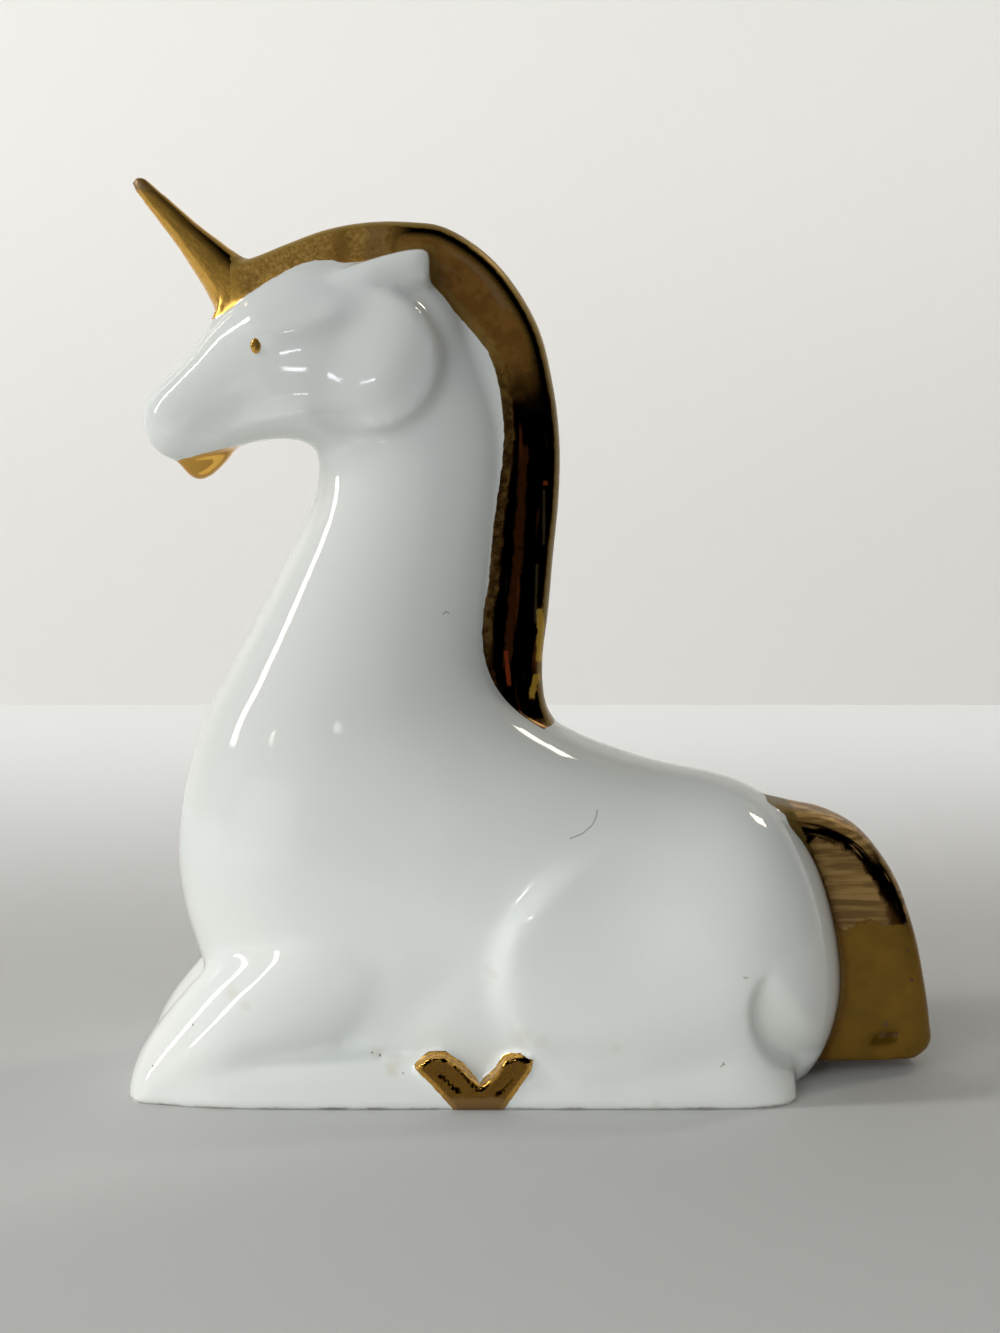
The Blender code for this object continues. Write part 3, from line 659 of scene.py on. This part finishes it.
HOOF_GILDING = [
    (-21.1, 7.2), (-18.7, 9.2), (-15.8, 9.3), (-13.0, 7.2), (-10.3, 4.0), (-8.1, 6.0), (-6.4, 8.9),
    (-3.8, 9.4), (-1.6, 8.4), (-1.9, 6.6), (-4.9, 2.4), (-6.6, -0.4), (-6.8, -3.0), (-14.6, -3.0),
    (-14.8, 0.5), (-18.1, 4.3),
]
HOOF_GILDING_FROM = 20.0
HORN_GILDING_BACK = -44.0
HORN_GILDING_REACH = 12.0
EYE_GILDING_FROM = 3.0
BRUSH_REACH = 1.3


def depth_inside(points, outline):
    """How far each point lies inside an outline, negative outside it."""
    closed = np.array(outline + outline[:1], float)
    distance = line_distances(points, closed)[0]
    starts, ends = closed[:-1], closed[1:]
    x, z = points[:, 0:1], points[:, 1:2]
    crosses = (starts[:, 1] > z) != (ends[:, 1] > z)
    climb = np.where(ends[:, 1] == starts[:, 1], 1.0, ends[:, 1] - starts[:, 1])
    at = starts[:, 0] + (z - starts[:, 1]) * (ends[:, 0] - starts[:, 0]) / climb
    inside = (crosses & (x < at)).sum(1) % 2 == 1
    return np.where(inside, distance, -distance)


count = len(unicorn.data.vertices)
places = np.empty(count * 3)
unicorn.data.vertices.foreach_get("co", places)
places = places.reshape(-1, 3) / MM - np.array([shift / MM, 0.0, 0.0])
seen = places[:, [0, 2]]
out = np.abs(places[:, 1])
on_horn = seen[:, 0] < HORN_GILDING_BACK
mane_reach = np.where(on_horn, HORN_GILDING_REACH, MANE_THICKNESS / 2 + BRUSH_REACH)
from_eye = seen - np.array(EYE_PLACE)
from_eye[:, 1] *= EYE_WIDTH / EYE_HEIGHT
eye = EYE_WIDTH / 2 - np.hypot(from_eye[:, 0], from_eye[:, 1])
gilding = np.maximum.reduce([
    np.minimum(depth_inside(seen, MANE_GILDING), mane_reach - out),
    np.minimum(depth_inside(seen, TAIL_GILDING), TAIL_THICKNESS / 2 + BRUSH_REACH - out),
    depth_inside(seen, BEARD_GILDING),
    np.minimum(depth_inside(seen, HOOF_GILDING), out - HOOF_GILDING_FROM),
    np.minimum(eye, out - EYE_GILDING_FROM),
])
gilding_layer = unicorn.data.attributes.new("gilding", "FLOAT", "POINT")
gilding_layer.data.foreach_set("value", gilding.astype(np.float32))

# The mane and the tail carry their own measures for the lustre: the share of the way along the outer line,
# the distance from that line and the distance from the root, in millimetres. Elsewhere the last is negative.
FAR_FROM_ROOT = -9.0
ROOT_MARGIN = 2.0
CREST_FROM = HORN_GILDING_BACK - 7.0

crest = np.tile(np.array([0.0, 0.0, FAR_FROM_ROOT]), (count, 1))
for rows, outline in ((MANE_RIBS, MANE_GILDING), (TAIL_RIBS, TAIL_GILDING)):
    from_line, _, along_line = line_distances(seen, [row[2:4] for row in curve_through(rows)])
    from_root = depth_inside(seen, outline)
    on_it = (from_root > -ROOT_MARGIN) & (seen[:, 0] > CREST_FROM)
    crest[on_it] = np.stack([along_line, from_line, from_root], 1)[on_it]
crest_layer = unicorn.data.attributes.new("crest", "FLOAT_VECTOR", "POINT")
crest_layer.data.foreach_set("vector", crest.astype(np.float32).ravel())

# Glaze and lustre.
# Clear glaze over white porcelain, faintly blue-grey, with kiln specks and stains. The lustre is bright gold
# where it is whole, and a satin brown to olive film where it was brushed thin or has worn. Down the neck and
# on the upper tail the whole gold is painted dark brown as a painted dark reflection; the lighter outer rims
# of mane and tail are partly wear and partly painted highlight, and on the hooves the bright rims are a
# painted highlight and the low band a painted reflection.
GLAZE = {
    "clear": "E6EBEA", "thick": "E9ECE9", "stain": "B89A58", "grime": "6E5C46", "speck": "4A3526",
    "bare foot": "E9E2D6",
}
# Whole gold: the dark "mirror" brown is a painted dark reflection, down the neck and on the upper tail.
WHOLE_GOLD = {"bright": "E0AC52", "mirror": "4A3014", "tail": "80601C", "hoof": "8A6428"}
# Worn gold: the lighter hoof colour for the band near the table is a painted reflection.
WORN_GOLD = {
    "olive": "A08A48", "brown": "6A3812", "orange": "A86A24", "taupe": "8C7660", "bronze": "8E5C2A",
    "honey": "B4843A", "straw": "ECC470", "rust": "7E3A16", "ember": "A83C12", "butter": "D8AC3C",
    "pale": "B8AA80", "eye": "E0AE4C", "horn": "DCAE4C", "umber": "8E6C3A", "tan": "C8A262",
    "moss": "80601A", "ochre": "946E20", "tail rim": "7C6430", "hoof": "5E3C14", "hoof low reflection": "8A6B40",
}

# Each mark on the glaze: x, z, radius in millimetres, strength.
STAINS = [
    (-49.8, 18.6, 0.9, 0.14), (-47.6, 17.0, 0.7, 0.12), (-7.9, 22.7, 0.8, 0.12), (-8.6, 20.6, 0.6, 0.1),
    (-2.4, 12.6, 1.2, 0.12), (0.4, 11.4, 1.0, 0.1), (12.7, 10.6, 0.7, 0.09), (18.9, 1.0, 0.8, 0.16),
    (-23.6, 7.0, 1.1, 0.2), (-26.5, 8.6, 0.9, 0.2),
]
SPECKS = [
    (-56.5, 13.2, 0.16, 0.6), (-58.2, 11.9, 0.12, 0.5), (-63.2, 6.2, 0.18, 0.6), (-27.2, 8.6, 0.16, 0.7),
    (-25.9, 8.3, 0.2, 0.7), (-22.0, 6.0, 0.16, 0.6), (30.2, 7.4, 0.14, 0.6),
]
PITS = [(62.7, 25.8, 0.3, 0.9), (63.3, 21.4, 0.24, 0.8), (64.1, 16.2, 0.3, 0.9), (57.0, 37.4, 0.22, 0.8)]
RING_MARK = (59.8, 8.5, 0.5, 0.6)

# Fine hairs caught in the glaze, each a line x, z.
HAIRS = [
    [(5.1, 43.7), (7.2, 44.4), (8.8, 45.6), (9.5, 46.8), (9.7, 47.9)],
    [(33.0, 22.3), (33.4, 22.0), (33.8, 22.2)],
    [(29.6, 7.0), (30.2, 7.8)],
    [(-15.6, 79.8), (-15.0, 80.3), (-14.6, 79.9)],
]

# Strokes of another colour in the lustre at the back of the neck, as lines too.
EMBER_STROKES = [[(-5.3, 73.0), (-4.7, 67.0)], [(1.2, 101.2), (1.2, 100.4)]]
RUST_STROKES = [[(-2.4, 107.0), (-3.2, 90.0), (-5.2, 70.0)]]
BUTTER_STROKES = [[(-0.2, 69.0), (-1.0, 64.8)], [(0.5, 80.0), (0.3, 71.0)]]
PALE_STROKES = [[(1.0, 99.7), (1.0, 90.6)], [(-0.1, 87.5), (-0.4, 77.5)]]
# A painted shadow along the tail's dimple, as a line too.
DIMPLE_SHADE = [[(58.8, 6.3), (62.0, 6.6)]]


def linear(hex_colour):
    """An sRGB hex colour as the linear RGBA that sockets take."""
    parts = [int(hex_colour[i:i + 2], 16) / 255 for i in (0, 2, 4)]
    return [p / 12.92 if p <= 0.04045 else ((p + 0.055) / 1.055) ** 2.4 for p in parts] + [1.0]


def add(tree, kind, settings=None, inputs=None):
    """A node with its settings and its inputs, each a value or another node's output."""
    node = tree.nodes.new("ShaderNode" + kind)
    for name, value in (settings or {}).items():
        setattr(node, name, value)
    for name, value in (inputs or {}).items():
        if isinstance(value, bpy.types.NodeSocket):
            tree.links.new(value, node.inputs[name])
        else:
            node.inputs[name].default_value = value
    return node


finish = bpy.data.materials.new("glazed_porcelain_with_gold_lustre")
finish.use_nodes = True
tree = finish.node_tree
tree.nodes.clear()
place = add(tree, "TexCoord").outputs["Object"]


def maths(operation, first, second=0.0):
    return add(tree, "Math", {"operation": operation}, {0: first, 1: second}).outputs[0]


def times(*factors):
    product = factors[0]
    for factor in factors[1:]:
        product = maths("MULTIPLY", product, factor)
    return product


def most(*factors):
    highest = factors[0]
    for factor in factors[1:]:
        highest = maths("MAXIMUM", highest, factor)
    return highest


def rise(value, low, high):
    """0 at low and 1 at high, eased; low may be the greater."""
    return add(tree, "MapRange", {"interpolation_type": "SMOOTHSTEP"}, {
        "Value": value, "From Min": low, "From Max": high,
    }).outputs["Result"]


def between(value, low, high, edge):
    return times(rise(value, low - edge, low + edge), rise(value, high + edge, high - edge))


def mixed(factor, first, second):
    first, second = [linear(paint) if isinstance(paint, str) else paint for paint in (first, second)]
    return add(tree, "Mix", {"data_type": "RGBA"}, {"Factor": factor, 6: first, 7: second}).outputs[2]


def grain(size, detail=2.0, vector=place, stretch=(1.0, 1.0, 1.0), seed=0.0):
    """Noise from 0 to 1 with lumps of the given size in millimetres."""
    spread = tuple(share / (size * MM) for share in stretch)
    scaled = add(tree, "Mapping", {}, {"Vector": vector, "Scale": spread, "Location": (seed,) * 3})
    return add(tree, "TexNoise", {}, {"Vector": scaled.outputs[0], "Scale": 1.0, "Detail": detail}).outputs[0]


def split(vector):
    return add(tree, "SeparateXYZ", {}, {"Vector": vector}).outputs


x, y, z = [maths("DIVIDE", part, MM) for part in split(place)]
side_place = add(tree, "CombineXYZ", {}, {"X": x, "Z": z}).outputs[0]
near_side = rise(y, 0.0, -1.0)
ragged = maths("MULTIPLY", maths("SUBTRACT", grain(1.6, 4.0), 0.5), 1.6)


def marks(spots, edge, raggedness=0.0):
    """Round marks on the near flank, each of its own strength."""
    found = None
    for at_x, at_z, radius, strength in spots:
        away = add(tree, "VectorMath", {"operation": "DISTANCE"}, {
            0: side_place, 1: (at_x, 0.0, at_z),
        }).outputs["Value"]
        if raggedness:
            away = maths("ADD", away, times(ragged, raggedness))
        spot = times(rise(away, radius * (1 + edge), radius * (1 - edge)), strength)
        found = spot if found is None else most(found, spot)
    return times(found, near_side)


def strokes(lines, width, raggedness=0.0):
    """Lines drawn on the near flank, each through its points."""
    found = None
    for line in lines:
        for (x0, z0), (x1, z1) in zip(line, line[1:]):
            length = math.hypot(x1 - x0, z1 - z0)
            run, climb = (x1 - x0) / length, (z1 - z0) / length
            ahead = maths("ADD", times(x, run), times(z, climb))
            aside = maths("SUBTRACT", times(z, run), times(x, climb))
            start = x0 * run + z0 * climb
            gap = maths("ABSOLUTE", maths("SUBTRACT", aside, z0 * run - x0 * climb))
            if raggedness:
                gap = maths("ADD", gap, times(ragged, raggedness))
            piece = times(rise(gap, width, width / 2), between(ahead, start, start + length, width / 2))
            found = piece if found is None else most(found, piece)
    return times(found, near_side)


# The glaze: dirt gathers along the table edge, and the foot is bare.
glaze = mixed(rise(grain(28.0, 1.0), 0.35, 0.65), GLAZE["clear"], GLAZE["thick"])
glaze = mixed(marks(STAINS, 0.9, 1.8), glaze, GLAZE["stain"])
near_table = rise(maths("ADD", z, times(ragged, 0.5)), 0.7, 0.2)
glaze = mixed(times(near_table, rise(grain(5.0, 3.0), 0.4, 0.65), 0.6), glaze, GLAZE["grime"])
glaze = mixed(marks(SPECKS, 0.35), glaze, GLAZE["speck"])
glaze = mixed(times(strokes(HAIRS, 0.14), 0.55), glaze, GLAZE["grime"])
bare = rise(z, 0.06, 0.02)
glaze = mixed(bare, glaze, GLAZE["bare foot"])

# The lustre's measures, its zones and the grains that they share.
CREST_LENGTH = 124.0

painted = add(tree, "Attribute", {"attribute_name": "gilding"}).outputs["Fac"]
brushed = maths("ADD", painted, times(maths("SUBTRACT", grain(1.1, 3.0), 0.5), 0.35))
gilt = rise(brushed, -0.06, 0.06)
along, from_edge, from_root = split(add(tree, "Attribute", {"attribute_name": "crest"}).outputs["Vector"])
on_crest = rise(from_root, -4.0, -3.0)
on_tail = times(on_crest, rise(x, 24.0, 26.0))
on_mane = times(on_crest, rise(x, 26.0, 24.0))
on_horn = times(rise(x, -47.5, -49.5), rise(z, 122.0, 124.0), rise(maths("ADD", x, z), 87.0, 84.0))
on_hoof = times(rise(z, 14.0, 12.0), rise(x, 10.0, 8.0))
along_grain = add(tree, "CombineXYZ", {}, {
    "X": times(along, CREST_LENGTH * MM), "Y": times(from_edge, MM),
}).outputs[0]
streaks = grain(3.0, 4.0, along_grain, (0.14, 1.5, 1.0))
fine_streaks = grain(1.0, 4.0, along_grain, (0.05, 1.5, 1.0), 3.0)
crackle = grain(0.6, 5.0)
blotches = grain(4.0, 4.0)
scuffs = grain(1.4, 5.0)

# Mane: crackled gold over the brow, mottled brown behind the ears, and a painted dark reflection down the
# neck.
front = rise(along, 0.24, 0.19)
low = rise(maths("ADD", along, times(ragged, 0.03)), 0.46, 0.58)
poll = times(maths("SUBTRACT", 1.0, front), maths("SUBTRACT", 1.0, low))
mottle = rise(maths("ADD", times(blotches, 0.6), times(scuffs, 0.4)), 0.42, 0.58)
poll_colour = mixed(mottle, WORN_GOLD["brown"], WORN_GOLD["bronze"])
poll_colour = mixed(times(rise(streaks, 0.5, 0.64), 0.75), poll_colour, WORN_GOLD["taupe"])
torn_x = maths("ADD", x, ragged)
front_colour = mixed(rise(crackle, 0.3, 0.7), WORN_GOLD["honey"], WORN_GOLD["straw"])
front_colour = mixed(times(between(torn_x, -33.4, -30.9, 0.9), 0.7), front_colour, WORN_GOLD["brown"])
front_colour = mixed(times(between(torn_x, -28.0, -24.6, 1.0), 0.7), front_colour, WORN_GOLD["taupe"])
mane_colour = mixed(front, mixed(low, poll_colour, WORN_GOLD["rust"]), front_colour)
embers = strokes(EMBER_STROKES, 0.5, 0.3)
rust = strokes(RUST_STROKES, 1.0, 0.9)
butter = strokes(BUTTER_STROKES, 0.8, 0.7)
pale = strokes(PALE_STROKES, 0.3, 0.15)
mane_wear = most(
    times(front, maths("ADD", 0.52, times(rise(crackle, 0.3, 0.7), 0.16))),
    times(poll, rise(from_edge, 1.6, 3.4), 0.75),
    times(low, rise(streaks, 0.58, 0.66), 0.5),
    times(low, most(times(embers, 0.7), times(pale, 0.25), times(rust, 0.35), times(butter, 0.75))),
)
# Along the outer edge of mane and tail the lustre turns satin olive: partly wear, partly a painted highlight.
outer_rim_wear_and_highlight = times(rise(maths("ADD", from_edge, times(ragged, 0.25)), 1.2, 0.8), 0.8)
inner_rim = rise(maths("ADD", from_root, times(ragged, 0.9)), 2.0, 1.4)
rim_wear = maths("ADD", 0.3, times(rise(scuffs, 0.3, 0.7), 0.35))
mane_rim = most(outer_rim_wear_and_highlight, times(inner_rim, maths("SUBTRACT", 1.0, front), rim_wear))

# Tail: a streaked strip on top, partly wear and partly a painted highlight, fine bright lines along its outer
# edge, a tan patch, and satin ochre below.
top_strip_wear_and_highlight = times(rise(from_edge, 2.2, 1.6), rise(along, 0.4, 0.3))
lines = times(rise(fine_streaks, 0.54, 0.6), rise(from_edge, 4.2, 3.0), rise(z, 27.0, 31.0), 0.7)
torn_z = maths("ADD", z, times(maths("SUBTRACT", blotches, 0.5), 10.0))
level_streaks = grain(1.6, 4.0, place, (0.12, 1.0, 1.5), 5.0)
torn_edge = maths("ADD", from_edge, times(ragged, 1.4))
tan = times(
    rise(torn_z, 25.5, 26.5), rise(torn_z, 41.0, 39.5), rise(torn_edge, 3.2, 4.4), rise(from_root, 1.2, 2.2),
)
ochre = rise(torn_z, 26.5, 25.5)
upper_tail = mixed(rise(level_streaks, 0.42, 0.62), WORN_GOLD["umber"], WORN_GOLD["tan"])
lower_tail = mixed(rise(blotches, 0.35, 0.65), WORN_GOLD["moss"], WORN_GOLD["ochre"])
low_root = times(rise(from_root, 3.2, 1.6), rise(z, 30.0, 24.0), 0.8)
tail_colour = mixed(low_root, mixed(ochre, upper_tail, lower_tail), WORN_GOLD["brown"])
tail_wear = most(times(ochre, 0.6), times(tan, 0.72), top_strip_wear_and_highlight, times(lines, 0.85), times(outer_rim_wear_and_highlight, 0.8))

# Horn and hooves: brushed and scratched, and grainy, with a painted highlight on the hooves' rims and a
# painted reflection low on the hooves.
horn_turn = math.radians(HORN_LEAN)
along_horn = add(tree, "VectorRotate", {"rotation_type": "Y_AXIS"}, {"Vector": place, "Angle": horn_turn})
brushing = grain(1.0, 4.0, along_horn.outputs[0], (2.2, 2.2, 0.12), 7.0)
worn_tip = rise(z, 147.4, 149.0)
horn_wear = most(maths("ADD", 0.42, times(rise(brushing, 0.4, 0.65), 0.12)), times(worn_tip, 0.85))
# The lighter satin band low on the hooves is a painted reflection of the floor.
hoof_low_reflection = rise(maths("ADD", z, times(ragged, 0.4)), 2.8, 1.8)
# The bright gold kept along the hooves' rims is a painted highlight.
hoof_rim_highlight = rise(painted, 1.0, 0.6)
hoof_wear = most(times(rise(crackle, 0.5, 0.62), 0.5), times(hoof_low_reflection, 0.75))

# Lustre: the zones together, each worn to its own colour.
on_eye = marks([(EYE_PLACE[0] + shift / MM, EYE_PLACE[1], EYE_HEIGHT * 0.7, 1.0)], 0.1)
worn = mixed(on_eye, WORN_GOLD["orange"], WORN_GOLD["eye"])
# Olive on the mane's rims: thin brushing at the root, and on the outer edge partly a painted highlight.
worn = mixed(on_mane, worn, mixed(mane_rim, mane_colour, WORN_GOLD["olive"]))
for stroke, paint in ((butter, "butter"), (pale, "pale"), (embers, "ember")):
    worn = mixed(times(on_mane, low, stroke), worn, WORN_GOLD[paint])
worn = mixed(on_tail, worn, mixed(inner_rim, tail_colour, WORN_GOLD["tail rim"]))
# Hoof faces dark, with the lighter low band a painted reflection.
worn = mixed(on_hoof, worn, mixed(hoof_low_reflection, WORN_GOLD["hoof"], WORN_GOLD["hoof low reflection"]))
worn = mixed(on_horn, worn, mixed(worn_tip, WORN_GOLD["horn"], WORN_GOLD["taupe"]))
wear = most(
    times(on_mane, most(mane_wear, mane_rim)), times(on_tail, most(tail_wear, times(inner_rim, 0.85))),
    times(on_horn, horn_wear), times(on_hoof, hoof_wear), times(on_eye, 0.4),
)
# Dark marks on the tail: real pits and a ring, and a painted shadow along the dimple.
pits_and_painted_shade = times(on_tail, most(
    marks(PITS, 0.3), marks([RING_MARK], 0.2), times(strokes(DIMPLE_SHADE, 0.6), 0.7),
))
# Whole gold: bright, with the dark "mirror" brown down the neck and on the upper tail a painted dark
# reflection.
whole = mixed(times(on_mane, low), WHOLE_GOLD["bright"], WHOLE_GOLD["mirror"])
whole = mixed(on_tail, whole, mixed(ochre, WHOLE_GOLD["mirror"], WHOLE_GOLD["tail"]))
# Hoof faces dark gold, their rims left bright as a painted highlight.
whole = mixed(times(on_hoof, maths("SUBTRACT", 1.0, hoof_rim_highlight)), whole, WHOLE_GOLD["hoof"])
lustre = mixed(pits_and_painted_shade, mixed(wear, whole, worn), GLAZE["speck"])

colour = mixed(gilt, glaze, lustre)
metal = times(gilt, maths("SUBTRACT", 1.0, times(wear, 0.65)), maths("SUBTRACT", 1.0, pits_and_painted_shade))
gold_roughness = maths("ADD", 0.1, times(wear, maths("ADD", 0.22, times(scuffs, 0.3))))
rough = add(tree, "Mix", {"data_type": "FLOAT"}, {0: gilt, 2: 0.06, 3: gold_roughness}).outputs[0]
rough = maths("MAXIMUM", rough, times(bare, 0.75))
ripple = add(tree, "Bump", {}, {
    "Height": grain(9.0, 2.0), "Distance": 0.06 * MM, "Strength": 1.0,
}).outputs["Normal"]
scratched = add(tree, "Bump", {}, {
    "Height": scuffs, "Distance": 0.05 * MM, "Strength": times(gilt, wear), "Normal": ripple,
}).outputs["Normal"]
shader = add(tree, "BsdfPrincipled", {}, {
    "Base Color": colour, "Metallic": metal, "Roughness": rough, "Normal": scratched,
}).outputs["BSDF"]
add(tree, "OutputMaterial", {}, {"Surface": shader})
unicorn.data.materials.clear()
unicorn.data.materials.append(finish)

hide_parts("unicorn")
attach(unicorn, "root")

# Studio.
# A pale floor and a pale wall, lit by a tall window on the left and a soft warm lamp behind on the right.
FLOOR = "D0D1D1"
FLOOR_FROM = -0.19
WALL_PAINT = "D8D6D3"
WALL_AT = 0.394
WALL_HEIGHT = 2.0
STUDIO_WIDTH = 5.0


def plain(name, hex_colour, roughness):
    material = bpy.data.materials.new(name)
    material.use_nodes = True
    shader = material.node_tree.nodes["Principled BSDF"]
    shader.inputs["Base Color"].default_value = linear(hex_colour)
    shader.inputs["Roughness"].default_value = roughness
    return material


for name, near_edge, far_edge, paint in (
    ("floor", (FLOOR_FROM, 0.0), (WALL_AT, 0.0), FLOOR),
    ("wall", (WALL_AT, 0.0), (WALL_AT, WALL_HEIGHT), WALL_PAINT),
):
    sheet = bmesh.new()
    sheet.faces.new([
        sheet.verts.new((side * STUDIO_WIDTH / 2, *edge))
        for side, edge in ((-1, near_edge), (1, near_edge), (1, far_edge), (-1, far_edge))
    ])
    backdrop = as_object(sheet, name)
    backdrop.data.materials.append(plain(name + "_paint", paint, 0.8))

CENTRE = Vector((0.0, 0.0, 0.07))
# Each light: name, degrees left of the camera's side, degrees up, distance, width, height, watts, colour,
# spread in degrees, and whether the glaze mirrors it.
LIGHTS = [
    ("window", 82.0, 27.0, 0.90, 0.09, 0.58, 2.9, "FFFCF6", 180.0, True),
    ("thin_window", 118.0, 24.0, 0.90, 0.015, 0.45, 0.25, "FFFCF6", 180.0, True),
    ("sky", 37.0, 23.0, 1.10, 0.80, 0.80, 4.1, "F6F8F8", 180.0, False),
    ("lamp", -118.0, 48.0, 0.90, 0.10, 0.14, 0.8, "FFF3DC", 180.0, True),
]
# Three small lamps stand close to the piece, for the streaks on the forelegs, the cheek and the thigh. A card
# on the table gives the horn its streak, a low strip brightens the legs from the front, and the wall has a
# lamp of its own. Each: name, place, point that it is aimed at, and the rest as above.
AIMED_LIGHTS = [
    ("knee_lamp", (-0.148, -0.112, 0.074), (-0.052, -0.021, 0.006),
     0.008, 0.050, 0.0014, "FFFCF6", 32.0, True),
    ("cheek_lamp", (-0.086, -0.152, 0.094), (-0.040, -0.011, 0.120),
     0.022, 0.005, 0.00016, "EEF4FA", 32.0, True),
    ("table_glow", (-0.190, -0.150, 0.012), (-0.058, -0.003, 0.140),
     0.15, 0.15, 0.05, "FFFDF8", 180.0, True),
    ("low_strip", (0.030, -0.170, 0.006), (0.030, 0.0, 0.016),
     0.22, 0.012, 0.024, "FFFCF6", 120.0, False),
    ("thigh_lamp", (-0.037, -0.152, 0.098), (-0.002, -0.021, 0.032),
     0.050, 0.004, 0.0006, "FFFCF6", 24.0, True),
    ("wall_lamp", (0.20, 0.10, 0.52), (0.20, 0.394, 0.12),
     1.6, 0.10, 1.6, "FFFFFF", 80.0, False),
]
# The rest of the room is a dim grey that the glaze doesn't mirror.
ROOM = "DADDDD"
ROOM_STRENGTH = 0.20
# The camera stands close in front of the near flank and looks a little down.
CAMERA_PLACE = (-0.007, -0.343214, 0.117751)
CAMERA_TILT = 82.0
CAMERA_LENS = 55.17
CAMERA_SENSOR = 36.0


def area_light(name, place, aim, width, height, watts, tint, spread, mirrored):
    data = bpy.data.lights.new(name, "AREA")
    data.shape = "RECTANGLE"
    data.size, data.size_y = width, height
    data.energy = watts
    data.color = linear(tint)[:3]
    data.spread = math.radians(spread)
    lamp = bpy.data.objects.new(name, data)
    bpy.context.scene.collection.objects.link(lamp)
    lamp.location = place
    lamp.rotation_euler = (aim - place).to_track_quat("-Z", "Y").to_euler()
    lamp.visible_glossy = mirrored
    lamp.visible_camera = False


for name, round_by, up_by, distance, *rest in LIGHTS:
    around, up = math.radians(round_by), math.radians(up_by)
    towards = Vector((-math.sin(around) * math.cos(up), -math.cos(around) * math.cos(up), math.sin(up)))
    area_light(name, CENTRE + towards * distance, CENTRE, *rest)
for name, lamp_place, aim, *rest in AIMED_LIGHTS:
    area_light(name, Vector(lamp_place), Vector(aim), *rest)

world = bpy.data.worlds.new("studio")
bpy.context.scene.world = world
world.use_nodes = True
world.node_tree.nodes["Background"].inputs["Color"].default_value = linear(ROOM)
world.node_tree.nodes["Background"].inputs["Strength"].default_value = ROOM_STRENGTH
world.cycles_visibility.glossy = False
bpy.context.scene.view_settings.view_transform = "Standard"

camera = bpy.data.objects.new("camera", bpy.data.cameras.new("camera"))
bpy.context.scene.collection.objects.link(camera)
camera.data.lens = CAMERA_LENS
camera.data.sensor_width = CAMERA_SENSOR
camera.data.clip_start = 0.01
camera.location = (CAMERA_PLACE[0] + shift, *CAMERA_PLACE[1:])
camera.rotation_euler = (math.radians(CAMERA_TILT), 0.0, 0.0)
bpy.context.scene.camera = camera
